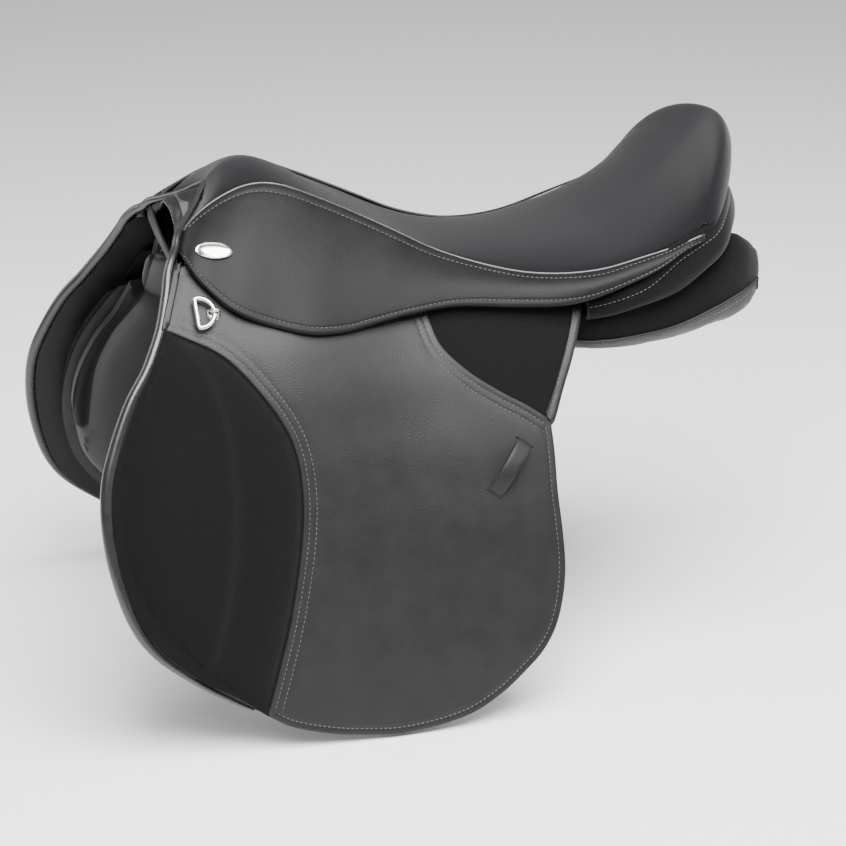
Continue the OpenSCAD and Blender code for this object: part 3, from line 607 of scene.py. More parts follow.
def side_stitches(line, face):
    """Stitches along a (y, z) line on a side sheet whose depth is face(y, z)."""
    p = even(line, 3.0, smooth_it=False)
    y, z = p[:, 0], p[:, 1]
    return stitches(side_pt(y, z, face(y, z)), side_n(y, z))


def toward(line, d, point):
    """The line moved by d toward the side that the point is on."""
    line = even(line, 3.0)
    _, s = to_segments(np.array([point], float), line, False)
    return inset(line, d * (s[0] or 1), False)


# ---- bookkeeping ----
def settle(obj, body=None, blend=None, replaces=()):
    if blend:
        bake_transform(obj)
    else:
        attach(obj, body or "saddle")
    if replaces:
        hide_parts(*replaces)
    return obj


def flap_blend(tag, side):
    a = (HINGE_X * MM * side, HINGE_Y * MM, HINGE_TOP * MM)
    b = (HINGE_X * MM * side, HINGE_Y * MM, HINGE_LOW * MM)
    return ("saddle", f"{tag}_flap", a, b)


def skirt_blend(tag, side):
    axis = unit(SKIRT_AXIS_B - SKIRT_AXIS_A)
    down = unit(np.cross(axis, SKIRT_OUT))
    down = down if down[2] < 0 else -down
    middle = (SKIRT_AXIS_A + SKIRT_AXIS_B) / 2
    a, b = middle - SKIRT_CREASE / 2 * down, middle + SKIRT_CREASE / 2 * down
    return ("saddle", f"{tag}_skirt", (a[0] * side * MM, a[1] * MM, a[2] * MM),
            (b[0] * side * MM, b[1] * MM, b[2] * MM))


# ---- seat ----
def seat_cover():
    u = np.r_[np.linspace(0, 14, 90), np.linspace(14, len(SEAT) - 1, 60)[1:]]
    t = np.sin(np.linspace(-1, 1, 61) * np.pi / 2 * 0.98) / math.sin(np.pi / 2 * 0.98)
    uu, tt = np.meshgrid(u, t, indexing="ij")
    stop = 1 - 1.6 / (0.6 * curve(SEAT, uu)[..., 2])
    outer = seat_pt(uu, tt * stop)
    n = grid_normals(outer)
    n *= np.sign(n[len(u) // 2, 30, 2])
    # the cover tucks in along its seams
    tuck = 2.2 * (1 - dome((1 - np.abs(tt)) * 40 / 6)) + 2 * (1 - dome((len(SEAT) - 1 - uu) / 0.25))
    outer = outer - n * tuck[..., None]
    v, f = slab(outer, outer - 2.2 * n)
    obj = add_mesh("seat_cover_suede", v, f, SEAT_SUEDE)
    settle(obj, replaces=("seat_cover", "seat_foam"))


def seat_piping(tag, side):
    p = even(skirt_top(np.linspace(0.1, 15.9, 60)), 4, smooth_it=False)
    obj = add_mesh(f"seat_piping_{tag}", *tube(p, 1.5, 12), ROLL_LEATHER, side)
    settle(obj, replaces=(f"seat_piping_{tag}",))


# ---- skirt ----
SKIRT_TOP_STITCH = 8.5
SKIRT_LOW_STITCH = 5.0
SKIRT_STITCHED = (0.75, 15.7)


def skirt_w(length):
    """Shares across the skirt with rows at the edges and the stitches."""
    scale = min(1.0, length / 34)
    near_top = np.array([0, 1, 2, 4, 6.5, 7.7, 8.5, 9.3, 11]) * scale
    near_low = np.array([12, 8, 6, 5.4, 5, 4.6, 3.4, 2.2, 1.2, 0.5, 0]) * scale
    middle = np.linspace(near_top[-1], length - near_low[0], 14)[1:-1]
    return np.r_[near_top, middle, length - near_low] / length


def skirt_face(u):
    """Outer points of one row across the skirt, before the thickness, and its depth."""
    length = np.linalg.norm(skirt_low(u) - skirt_top(u))
    w = skirt_w(length)
    top, low = w * length, (1 - w) * length
    depth = 2.0 * (dome(top / 5) - 1) + rounded(low, 2.2)
    depth += groove(top, SKIRT_TOP_STITCH * min(1, length / 34), 0.45)
    depth += groove(low, SKIRT_LOW_STITCH * min(1, length / 34), 0.45)
    return skirt_pt(np.full(len(w), u), w), depth


def skirt_line(side_name, d, u0, u1):
    """Line at distance d from the skirt's top or lower edge."""
    u = np.linspace(u0, u1, 160)
    length = np.linalg.norm(skirt_low(u) - skirt_top(u), axis=1)
    d = d * np.minimum(1, length / 34)
    w = d / length if side_name == "top" else 1 - d / length
    return skirt_pt(u, w), skirt_normal(u, w)


def skirt_normal(u, w):
    du = skirt_pt(u + 0.02, w) - skirt_pt(u - 0.02, w)
    dw = skirt_pt(u, w + 0.02) - skirt_pt(u, w - 0.02)
    n = unit(np.cross(du, dw))
    return n * np.sign(n[..., :1] + 0.5 * n[..., 2:])


def skirt(tag, side):
    us = np.r_[np.linspace(0.02, 2, 24), np.linspace(2, 15.95, 120)[1:]]
    rows, depths = zip(*(skirt_face(u) for u in us))
    base = np.array(rows)
    n = grid_normals(base)
    n *= np.sign(n[60, 15, 0])
    depth = np.array(depths)
    # the tip is rounded off too
    ends = 2.0 * (dome((us - us[0]) / 0.16) - 1)
    outer = base + n * (np.minimum(depth, ends[:, None]) + 1.2)[..., None]
    v, f = slab(outer, base - n * (SKIRT_T - 1.6))
    obj = add_mesh(f"skirt_{tag}", v, f, SKIRT_LEATHER, side)
    settle(obj, blend=skirt_blend(tag, side),
           replaces=(f"skirt_{tag}", f"skirt_head_{tag}"))
    parts = []
    for name, d in (("top", SKIRT_TOP_STITCH), ("low", SKIRT_LOW_STITCH)):
        p, up = skirt_line(name, d, *SKIRT_STITCHED)
        parts.append(stitches(p + 0.85 * up, up))
    obj = add_mesh(f"skirt_stitches_{tag}", *joined(parts), THREAD, side)
    settle(obj, blend=skirt_blend(tag, side))


BADGE_A, BADGE_B = 14, 7


def badge(tag, side):
    """Oval domed plate with a thin rim, plain."""
    c = skirt_pt(np.array(2.0), np.array(0.63))
    n = skirt_normal(np.array(2.0), np.array(0.63))
    a = unit(np.array([0.3, 1, -0.12]) - np.dot([0.3, 1, -0.12], n) * n)
    b = np.cross(n, a)
    profile = [(0, 2.2), (0.3, 2.15), (0.55, 2.0), (0.78, 1.75), (0.86, 1.5), (0.89, 1.4), (0.93, 1.75),
               (0.97, 1.85), (1.0, 1.5), (1.0, 0.2), (0, 0.2)]
    m = 40
    rings = []
    for q, h in profile:
        for k in range(m):
            t = 2 * math.pi * k / m
            rings.append(c + max(q, 0.001) * (BADGE_A * math.cos(t) * a + BADGE_B * math.sin(t) * b)
                         + n * (h + 1.2))
    faces = grid_faces(len(profile), m, wrap=True)
    obj = add_mesh(f"badge_plate_{tag}", np.array(rings), faces, NICKEL, side)
    settle(obj, body=f"{tag}_skirt", replaces=(f"badge_{tag}",))


# ---- flap ----
LEATHER_D = 2.0
KNEE_ROW = 5.0
KNEE_ROW_2 = 10.5
EDGE_ROW = 5.2
FLAP_INSIDE = (-100, -100)
WEDGE_LINE = even(WEDGE_EDGE, 3)
KNEE_LINE = even(KNEE_REAR, 3)


def leather_loop():
    front = [(-260, 50), (-258, 58), (-252, 70), (-243, 87)]
    head = [(-243, 87), (-221, 88), (-198, 80), (-174, 65), (-152, 54), (-122, 51), (-92, 51), (-51, 48)]
    return loop_of(KNEE_REAR[::-1], front, head, WEDGE_EDGE, [(34, -38), (34, -42)], FLAP_BOTTOM[::-1])


LEATHER_LOOP = leather_loop()


def leather_face(y, z, e=None):
    p = np.stack([y, z], axis=1)
    if e is None:
        e, _ = to_segments(p, LEATHER_LOOP, True)
    knee, _ = to_segments(p, KNEE_LINE, False)
    wedge, _ = to_segments(p, WEDGE_LINE, False)
    d = LEATHER_D + rounded(e, 1.3) + groove(e, EDGE_ROW, 0.4)
    return d + groove(knee, KNEE_ROW_2, 0.4) + groove(wedge, KNEE_ROW_2, 0.4)


def flap_base(tag, side):
    # the front edge is sewn in under the roll
    front = [(-241, 89)] + [(y, z) for y, z, _ in ROLL_TOP + ROLL[:-2]]
    loop = loop_of(front, FLAP_BOTTOM, FLAP_REAR, FLAP_HEAD)
    v, f = side_sheet(loop, lambda y, z, e: -0.3 + rounded(e, 1.5), -5.0, rings=(0.5, 1.5, 4), spacing=9)
    obj = add_mesh(f"flap_base_{tag}", v, f, EDGE_LEATHER, side)
    settle(obj, blend=flap_blend(tag, side), replaces=(f"flap_{tag}", f"flap_head_{tag}"))


def flap_leather(tag, side):
    v, f = side_sheet(LEATHER_LOOP, leather_face, -0.6,
                      rings=EDGE_RINGS + (9.6, 10.5, 11.4), spacing=6.0)
    obj = add_mesh(f"flap_leather_{tag}", v, f, LEATHER, side)
    settle(obj, blend=flap_blend(tag, side))
    rows = [
        toward(KNEE_REAR, KNEE_ROW, FLAP_INSIDE),
        toward(KNEE_REAR, KNEE_ROW_2, FLAP_INSIDE),
        toward(WEDGE_EDGE, EDGE_ROW, FLAP_INSIDE),
        toward(WEDGE_EDGE, KNEE_ROW_2, FLAP_INSIDE),
        toward(FLAP_BOTTOM, EDGE_ROW, FLAP_INSIDE),
    ]
    parts = []
    for line in rows:
        e, _ = to_segments(line, LEATHER_LOOP, True)
        line = line[e > 4.6]
        parts.append(side_stitches(line, leather_face))
    obj = add_mesh(f"flap_stitches_{tag}", *joined(parts), THREAD, side)
    settle(obj, blend=flap_blend(tag, side))


KNEE_STITCH_LINE = even(KNEE_STITCH, 3)
RIDGE_LINE = even(RIDGE, 3)


def knee_face(y, z):
    p = np.stack([y, z], axis=1)
    row, row_side = to_segments(p, KNEE_STITCH_LINE, False)
    rear, _ = to_segments(p, KNEE_LINE, False)
    ridge, ridge_side = to_segments(p, RIDGE_LINE, False)
    # the run of the stitch line has the padding on its left, the run of the ridge too
    inner = row * row_side
    behind = ridge * ridge_side
    pad = 8.0 * dome(inner / 30) * dome((rear - 2) / 26)
    pad *= 1 - 0.42 * smooth(-2, 9, behind) * smooth(60, 20, z)
    lip = 1.1 * dome(-inner / 5) * (inner < 0)
    return 0.7 + pad + lip + groove(row, 0, 0.4) * (rear > 6)


def knee_patch(tag, side):
    front = [(-259, 52), (-273, 26), (-288, 4), (-302, -25), (-311.5, -52), (-313.5, -83),
             (-309.5, -116), (-299.5, -149), (-284, -173), (-257, -197), (-230, -213), (-207, -230)]
    rear = [(y + 3, z) for y, z in KNEE_REAR[::-1]]
    loop = loop_of(front, [(-207, -230), rear[0]], rear, [rear[-1], (-259, 52)])
    v, f = side_sheet(loop, lambda y, z, e: knee_face(y, z) + rounded(e, 0.8), -0.6,
                      rings=(0.4, 1.0, 2.0, 3.5, 5.5, 7.5), spacing=4.0)
    obj = add_mesh(f"knee_patch_{tag}", v, f, KNEE_SUEDE, side)
    settle(obj, blend=flap_blend(tag, side), replaces=(f"knee_suede_{tag}",))
    line = KNEE_STITCH_LINE[KNEE_STITCH_LINE[:, 1] > -215]
    obj = add_mesh(f"knee_stitches_{tag}", *side_stitches(line, knee_face), DARK_THREAD, side)
    settle(obj, blend=flap_blend(tag, side))


def rear_wedge(tag, side):
    top = [(-53, 46), (-20, 45), (20, 42), (66, 38)]
    rear = [(66, 38), (61, 22), (50, 2), (39, -20), (32, -38)]
    low = [(y - 2, z - 2) for y, z in WEDGE_EDGE[::-1]]
    loop = loop_of(top, rear, [rear[-1], low[0]], low, [low[-1], (-53, 46)])
    v, f = side_sheet(loop, lambda y, z, e: 0.6 + 0.7 * dome(e / 14), -0.6, rings=(1.0, 3.0), spacing=7.0)
    obj = add_mesh(f"rear_wedge_{tag}", v, f, KNEE_SUEDE, side)
    settle(obj, blend=flap_blend(tag, side), replaces=(f"rear_suede_{tag}",))


def rear_strip(tag, side):
    """Bound strip along the flap's rear edge."""
    edge = even(FLAP_REAR, 4)
    loop = loop_of(FLAP_REAR, [(75, 36), (66, 38)], [(66, 38), (63, 27), (52, 6), (40, -16), (30, -34)],
                   [(30, -34), (34, -42)])

    def face(y, z, e=None):
        d, _ = to_segments(np.stack([y, z], axis=1), edge, False)
        out = 0.8 + 1.5 * dome(d / 3) * (1 - 0.3 * smooth(4, 7, d)) + groove(d, 6.2, 0.5, 0.8)
        return out if e is None else out + rounded(e, 0.8)

    v, f = side_sheet(loop, face, -5.4, rings=(0.5, 1.2, 2.2, 3.4), spacing=3.0)
    obj = add_mesh(f"rear_strip_{tag}", v, f, LEATHER, side)
    settle(obj, blend=flap_blend(tag, side))
    line = toward(FLAP_REAR, 6.2, (0, 0))
    obj = add_mesh(f"rear_strip_stitches_{tag}", *side_stitches(line[1:-1], face), THREAD, side)
    settle(obj, blend=flap_blend(tag, side))


def front_strip(tag, side):
    """Narrow bound strip between the roll and the flap's leather, above the knee patch."""
    a = [(-262, 49), (-257, 60), (-250, 74), (-243, 88)]
    b = [(y + 7, z + 2) for y, z in a[::-1]]
    loop = loop_of(a, [a[-1], b[0]], b, [b[-1], a[0]])

    def face(y, z, e=None):
        out = LEATHER_D + 0.9 + 0 * y
        return out if e is None else out + rounded(e, 1.1)

    v, f = side_sheet(loop, face, 0.2, rings=(0.5, 1.2), spacing=3.0)
    obj = add_mesh(f"front_strip_{tag}", v, f, LEATHER, side)
    settle(obj, body="saddle")
    line = even([(y + 9.6, z + 2) for y, z in a], 3)
    obj = add_mesh(f"front_strip_stitches_{tag}", *side_stitches(line, leather_face), THREAD, side)
    settle(obj, body="saddle")


def front_roll(tag, side):
    top = np.array(WELT)
    sides = np.array(ROLL_TOP + ROLL)
    sides = np.c_[side_pt(sides[:, 0], sides[:, 1], -2), sides[:, 2]]
    path = even(np.concatenate([top, sides]), 4)
    obj = add_mesh(f"front_roll_{tag}", *tube(path[:, :3], path[:, 3], 20), ROLL_LEATHER, side)
    settle(obj, blend=flap_blend(tag, side), replaces=(f"front_roll_{tag}", "pommel_welt"))


KEEPER_AT = (-4, -68)
KEEPER_L, KEEPER_W, KEEPER_H, KEEPER_T = 46, 12, 8.6, 2.0


def face_axes(p, along, n):
    a = unit(np.asarray(along, float) - np.dot(along, n) * n)
    return p, a, np.cross(n, a), n


def keeper(tag, side):
    y, z = np.array(float(KEEPER_AT[0])), np.array(float(KEEPER_AT[1]))
    c, a, b, n = face_axes(side_pt(y, z, 2.0), (0, 27, 37), side_n(y, z))
    t = np.linspace(0, 1, 29)
    h = KEEPER_H * np.sin(np.pi * t) ** 0.75
    w = np.linspace(-1, 1, 9)
    round_w = 0.5 * (1 - dome((1 - np.abs(w)) * 6))
    along = (a * KEEPER_L * (t[:, None] - 0.5))[:, None, :]
    across = (b * w[:, None] * KEEPER_W / 2)[None]
    outer = c + along + across + n * (h[:, None] + KEEPER_T - round_w[None] - 1.2)[..., None]
    inner = c + 0.98 * along + across + n * (h[:, None] - 1.2 + round_w[None] * 0.5)[..., None]
    obj = add_mesh(f"keeper_strap_{tag}", *slab(outer, inner), EDGE_LEATHER, side)
    settle(obj, body=f"{tag}_flap", replaces=(f"keeper_{tag}",))
    slots = []
    for s in (-1, 1):
        end = c + a * s * (KEEPER_L / 2 + 0.6)
        width = np.linspace(-KEEPER_W / 2 - 1.5, KEEPER_W / 2 + 1.5, 9)
        slots.append(tube(end + b * width[:, None] + n * 0.05, 0.8, 8))
    obj = add_mesh(f"keeper_slots_{tag}", *joined(slots), EDGE_LEATHER, side)
    settle(obj, body=f"{tag}_flap")


# ---- D-ring ----
DEE_AT = (-220, 57)
DEE_H, DEE_R = 6.4, 12
DEE_WIRE = 1.95


def dee(tag, side):
    y, z = np.array(float(DEE_AT[0])), np.array(float(DEE_AT[1]))
    p, a, b, n = face_axes(side_pt(y, z, 0.0), (0, 0, 1), side_n(y, z))
    c = p + n * DEE_H + b * DEE_R
    bend = [c + DEE_R * (math.cos(t) * a - math.sin(t) * b) for t in np.linspace(0, math.pi, 25)]
    corner = [c - a * DEE_R + b * 0.9 + a * 0.25, c - a * (DEE_R - 2.2) + b * 1.6]
    other = [c + a * (DEE_R - 2.2) + b * 1.6, c + a * DEE_R + b * 0.9 - a * 0.25]
    straight = [c + a * s + b * 1.7 for s in np.linspace(-8, 8, 7)]
    path = np.array(bend + corner + straight + other)
    path = np.concatenate([path, path[:1]])
    ring = even(path, 1.6)[:-1]
    t = unit(np.roll(ring, -1, axis=0) - np.roll(ring, 1, axis=0))
    m = 14
    verts = []
    for q, d in zip(ring, t):
        e = np.cross(d, n)
        verts += [q + DEE_WIRE * (math.cos(k * 2 * math.pi / m) * e + math.sin(k * 2 * math.pi / m) * n)
                  for k in range(m)]
    obj = add_mesh(f"dee_wire_{tag}", np.array(verts), ring_faces(len(ring), m), NICKEL, side)
    settle(obj, body=f"{tag}_dee", replaces=(f"dee_ring_{tag}",))
    # stud: base plate and the eye round the wire
    base = p + n * LEATHER_D
    plate = [(0, 1.5), (3.0, 1.5), (4.6, 1.1), (5.4, 0.3), (5.5, -0.8), (0, -0.8)]
    turns = [k * math.pi / 14 for k in range(28)]
    verts = [base + max(r, 0.01) * (math.cos(q) * a + math.sin(q) * b) + n * h
             for r, h in plate for q in turns]
    parts = [(np.array(verts), grid_faces(len(plate), 28, wrap=True))]
    eye_r, eye_w = 3.4, 1.25
    loop = [p + n * DEE_H + eye_r * (math.cos(t) * b + math.sin(t) * n)
            for t in np.linspace(0, 2 * math.pi, 33)[:-1]]
    verts = []
    for q in loop:
        out = unit(q - (p + n * DEE_H))
        verts += [q + eye_w * (math.cos(k * math.pi / 5) * out + 1.3 * math.sin(k * math.pi / 5) * a)
                  for k in range(10)]
    parts.append((np.array(verts), ring_faces(len(loop), 10)))
    obj = add_mesh(f"dee_stud_{tag}", *joined(parts), NICKEL, side)
    settle(obj, body="saddle", replaces=(f"dee_stud_{tag}",))


# ---- cantle band ----
BAND = [
    (106, 78, 41, 105, 79, 25), (111, 90, 45, 112, 97, 29), (116, 108, 52, 116, 121, 36),
    (115, 134, 63, 114, 150, 44), (111, 160, 74, 110, 174, 58),
    (105, 183, 84, 103, 192, 70), (88, 198, 97, 87, 204, 82), (65, 210, 103, 64, 214, 88),
    (36, 219, 106, 35, 221, 91), (0, 224, 107, 0, 226, 92),
]


def cantle_band():
    half = np.array(BAND, float)
    other = half[:-1][::-1] * np.array([-1, 1, 1, -1, 1, 1])
    rows = even(np.concatenate([half, other]), 6)
    w = np.r_[0, 0.03, 0.1, 0.2, 0.28, 0.33, 0.38, 0.46, 0.56, 0.66, 0.76, 0.86, 0.93, 0.98, 1]
    out = unit(np.stack([rows[:, 0], (rows[:, 1] - 60) * 0.8, 0 * rows[:, 0]], axis=1))[:, None, :]
    # behind the skirt the upper edge tucks in under the cover
    tuck = smooth(112, 150, rows[:, 1])[:, None, None]
    top, low = rows[:, None, :3], rows[:, None, 3:]
    top = top + tuck * (np.array([0, 0, 11.0]) - 3 * out)
    p = mix(top, low, w[None, :, None])
    swell = 3 * np.sin(np.pi * w) + 1.4 * np.exp(-(((w - 0.72) / 0.2) ** 2)) - 0.9 * np.exp(
        -(((w - 0.33) / 0.05) ** 2)) - 1.4 * (1 - dome(w / 0.12)) - 1.6 * (1 - dome((1 - w) / 0.12))
    outer = p + out * (swell[None, :, None] + 0.4)
    inner = p + out * (3 * np.sin(np.pi * w)[None, :, None] - 3.6)
    obj = add_mesh("cantle_band_suede", *slab(outer, inner), KNEE_SUEDE)
    settle(obj, replaces=("cantle_band",))
    row = outer[:, 5] + 0.15 * out[:, 0]
    obj = add_mesh("cantle_band_stitches", *stitches(row, out[:, 0]), THREAD)
    settle(obj)


# ---- arch lining ----
ARCH_PAIRS = [
    ((0, -202, 127), (0, 113)), ((12, -208.5, 121), (12, 112)), ((21, -213.5, 116), (24, 105)),
    ((40, -226, 107), (42, 90)), ((53, -234, 101), (54, 79)), ((70, -242, 90), (66, 70)),
]


def arch_lining():
    half = np.array([(*edge, *inner) for edge, inner in ARCH_PAIRS], float)
    both = np.concatenate([half, half[:-1][::-1] * np.array([-1, 1, 1, -1, 1])])
    rows = even(both, 5)
    edge, x, z = rows[:, :3], rows[:, 3], rows[:, 4]
    t = unit(np.gradient(np.stack([x, z], axis=1), axis=0))
    inward = np.stack([t[:, 1], -t[:, 0]], axis=1)
    inward *= np.sign(-inward[len(rows) // 2, 1])

    def ring(d, y):
        return np.stack([x + d * inward[:, 0], np.full(len(x), float(y)), z + d * inward[:, 1]], axis=1)

    roll = mix(edge, ring(1, -232), 0.5) + [0, -2.5, 0]
    profile = np.stack([edge, roll, ring(1, -231), ring(5.2, -228), ring(5.6, -214), ring(5.6, -189)], axis=1)
    cols = np.linspace(0, 5, 26)
    outer = np.array([curve(r, cols) for r in profile])
    n = grid_normals(outer)
    n *= np.sign(n[len(rows) // 2, 8, 1]) * -1
    obj = add_mesh("arch_lining", *slab(outer, outer - 1.6 * n), EDGE_LEATHER)
    settle(obj)
    parts = [stitches(outer[:, k] + 0.1 * n[:, k], n[:, k]) for k in (3, 12)]
    obj = add_mesh("arch_lining_stitches", *joined(parts), THREAD)
    settle(obj)


# ---- panel cushions ----
# [y, inner top, outer top, outer bottom, inner bottom], each corner as x, z
PANEL = [
    (-240, 54, 68, 86, 38, 84, 28, 48, 58), (-232, 46, 74, 94, 32, 91, 14, 36, 62),
    (-200, 42, 73, 98, 25, 92, 0, 31, 57), (-150, 38, 68, 92, 21, 89, -6, 30, 52),
    (-100, 37, 60, 77, 22, 82, -10, 30, 40), (-50, 38, 48, 72, 22, 88, -10, 32, 28),
    (0, 38, 42, 76, 24, 92, -8, 34, 20), (25, 38, 40, 82, 25, 98, -7, 34, 18),
    (50, 38, 40, 86, 26, 103, -8, 34, 17), (76, 39, 43, 95, 29, 109, -10, 34, 17),
    (102, 40, 48, 108, 33, 115, -10, 34, 19), (150, 44, 60, 108, 45, 113, -6, 36, 24),
    (187, 52, 80, 103, 64, 109, 2, 44, 30), (213, 60, 84, 94, 72, 103, 12, 54, 34),
    (226, 68, 76, 86, 66, 95, 24, 63, 42), (233, 76, 66, 82, 60, 86, 40, 74, 50),
]


# points round a cushion, and its share of its full width before it is inflated
PANEL_ROUND = 40
PANEL_START = 0.965


def panel_pt(u, angle):
    s = curve(PANEL, u)
    c, e = np.cos(angle), np.sin(angle)
    x = (0.5 + 0.5 * np.sign(c) * np.abs(c) ** 0.62)[..., None]
    z = (0.5 - 0.5 * np.sign(e) * np.abs(e) ** 0.62)[..., None]
    top = mix(s[..., 1:3], s[..., 3:5], x)
    low = mix(s[..., 7:9], s[..., 5:7], x)
    p = mix(low, top, z)
    return np.stack([p[..., 0], s[..., 0], p[..., 1]], axis=-1)


def apply_modifiers(obj):
    graph = bpy.context.evaluated_depsgraph_get()
    mesh = bpy.data.meshes.new_from_object(obj.evaluated_get(graph))
    obj.modifiers.clear()
    obj.data = mesh


def inflate(obj, voxel=0.0055, pressure=4.0, cap=0.005, frames=20):
    """Fills a cushion by cloth simulation, moving no point further than cap."""
    remesh = obj.modifiers.new("remesh", "REMESH")
    remesh.mode = "VOXEL"
    remesh.voxel_size = voxel
    apply_modifiers(obj)
    rest = np.zeros(len(obj.data.vertices) * 3)
    obj.data.vertices.foreach_get("co", rest)
    cloth = obj.modifiers.new("cloth", "CLOTH")
    cloth.settings.quality = 5
    cloth.settings.use_pressure = True
    cloth.settings.uniform_pressure_force = pressure
    cloth.settings.effector_weights.gravity = 0
    cloth.point_cache.frame_start = 1
    cloth.point_cache.frame_end = frames
    for k in range(1, frames + 1):
        bpy.context.scene.frame_set(k)
    graph = bpy.context.evaluated_depsgraph_get()
    result = obj.evaluated_get(graph).to_mesh()
    moved = np.zeros(len(result.vertices) * 3)
    result.vertices.foreach_get("co", moved)
    obj.evaluated_get(graph).to_mesh_clear()
    obj.modifiers.clear()
    step = (moved - rest).reshape(-1, 3)
    size = np.linalg.norm(step, axis=1, keepdims=True)
    step *= np.minimum(1, cap / np.maximum(size, 1e-9))
    obj.data.vertices.foreach_set("co", (rest.reshape(-1, 3) + step).ravel())
    bpy.context.scene.frame_set(1)
    relax = obj.modifiers.new("relax", "SMOOTH")
    relax.factor = 0.5
    relax.iterations = 3
    finer = obj.modifiers.new("finer", "SUBSURF")
    finer.levels = 1
    apply_modifiers(obj)
    for poly in obj.data.polygons:
        poly.use_smooth = True


def mirrored_copy(obj, name):
    twin = bpy.data.objects.new(name, obj.data.copy())
    bpy.context.collection.objects.link(twin)
    bm = bmesh.new()
    bm.from_mesh(twin.data)
    for v in bm.verts:
        v.co.x *= -1
    bmesh.ops.reverse_faces(bm, faces=bm.faces)
    bm.to_mesh(twin.data)
    bm.free()
    return twin


def wrap_on(points, obj, lift):
    """The points moved onto an object's surface and lifted off it: (points, normals), in mm."""
    tree = BVHTree.FromObject(obj, bpy.context.evaluated_depsgraph_get())
    out, normals = [], []
    for p in points.reshape(-1, 3):
        at, n, _, _ = tree.find_nearest(Vector(p * MM))
        out.append(np.array(at) / MM + lift * np.array(n))
        normals.append(np.array(n))
    return np.array(out).reshape(points.shape), np.array(normals).reshape(points.shape)


def panels():
    u = np.linspace(0, len(PANEL) - 1, 57)
    angle = np.linspace(0, 2 * math.pi, PANEL_ROUND + 1)[:-1] + math.pi
    uu, aa = np.meshgrid(u, angle, indexing="ij")
    body = panel_pt(uu, aa)
    middle = body.mean(axis=1, keepdims=True)
    body = middle + (body - middle) * PANEL_START
    verts = body.reshape(-1, 3)
    near = add_mesh("panel_cushion_near", verts, capped_faces(len(u), PANEL_ROUND), KNEE_SUEDE)
    inflate(near)
    off = mirrored_copy(near, "panel_cushion_off")
    for obj, tag in ((near, "near"), (off, "off")):
        settle(obj, replaces=(f"panel_{tag}",))
    # leather facing under the cushion, edged with a seam
    share = np.linspace(0.03, 0.97, 21)
    u = np.linspace(0.9, len(PANEL) - 1.7, 110)
    uu, ss = np.meshgrid(u, share, indexing="ij")
    base = panel_pt(uu, math.pi * ss)
    outer, n = wrap_on(base, near, 1.5)
    inner = outer - 2.2 * n
    edge_row = np.concatenate([outer[:, 0], outer[-1, 1:-1], outer[::-1, -1]])
    for tag, side in SIDES:
        obj = add_mesh(f"panel_facing_{tag}", *slab(outer, inner), PANEL_LEATHER, side)
        settle(obj)
        rows = [stitches(outer[:, k], n[:, k]) for k in (1, 19)]
        obj = add_mesh(f"panel_facing_stitches_{tag}", *joined(rows), THREAD, side)
        settle(obj)
        welt = tube(even(edge_row, 5, smooth_it=False), 1.3, 8)
        obj = add_mesh(f"panel_seam_{tag}", *welt, EDGE_LEATHER, side)
        settle(obj)


# ---- the leg of the panel, seen from the horse's side ----
LEG_SEAM = [(-229, 40), (-240, 18), (-257, -12), (-268, -40), (-272, -70), (-274, -104)]
LEG_LOOP = loop_of(
    [(-243, 39), (-252, 12), (-270, -20), (-281, -48), (-286, -78), (-284, -108), (-277, -134),
     (-262, -157), (-243, -173), (-218, -184), (-196, -188), (-178, -187)],
    [(-178, -187), (-160, -174), (-148, -152), (-141, -120), (-139, -80), (-141, -40), (-147, -6),
     (-153, 24)],
    [(-153, 24), (-190, 34), (-222, 39), (-243, 39)])
LEG_SEAM_LINE = even(LEG_SEAM, 3)


def leg_face(y, z, e=None):
    p = np.stack([y, z], axis=1)
    if e is None:
        e, _ = to_segments(p, LEG_LOOP, True)
    seam, where = to_segments(p, LEG_SEAM_LINE, False)
    pad = 12 * dome(e / 34) * (1 - 0.12 * smooth(40, 60, e))
    roll = 2.5 * smooth(-2, -9, seam * where)
    return -29 - pad + 1.0 * np.exp(-((seam / 2.0) ** 2)) - roll * dome(e / 10)


def panel_leg(tag, side):
    v, f = side_sheet(LEG_LOOP, leg_face, -25.0,
                      rings=(0.6, 1.6, 3, 5, 8), spacing=5.0)
    obj = add_mesh(f"panel_leg_{tag}", v, f, PANEL_LEATHER, side)
    settle(obj, replaces=(f"panel_leg_{tag}",))
    # suede knee roll laid over the front of the facing
    front = [(-243, 40), (-253, 12), (-271, -20), (-282, -48), (-287, -78), (-284, -106)]
    loop = loop_of(front, [(-284, -106), (-275, -106)], LEG_SEAM[::-1], [(-229, 40), (-243, 40)])
    v, f = side_sheet(loop, lambda y, z, e: leg_face(y, z) - 0.4 - 3.2 * dome(e / 9), -26.0,
                      rings=(0.6, 1.6, 3, 5), spacing=4.0)
    obj = add_mesh(f"panel_knee_roll_{tag}", v, f, KNEE_SUEDE, side)
    settle(obj)


# ---- sweat flap, blocks and pocket under the flap ----
SWEAT_LOOP = loop_of(
    [(-250, 29), (-266, 4), (-281, -24), (-290, -52), (-294, -84), (-291, -116), (-281, -146),
     (-262, -172), (-236, -194), (-206, -210), (-170, -220), (-130, -223), (-92, -221), (-56, -213),
     (-24, -199), (2, -177), (14, -148), (18, -116), (20, -84), (20, -40), (20, 10), (20, 26)],
    [(20, 26), (-60, 26), (-150, 28), (-250, 29)])


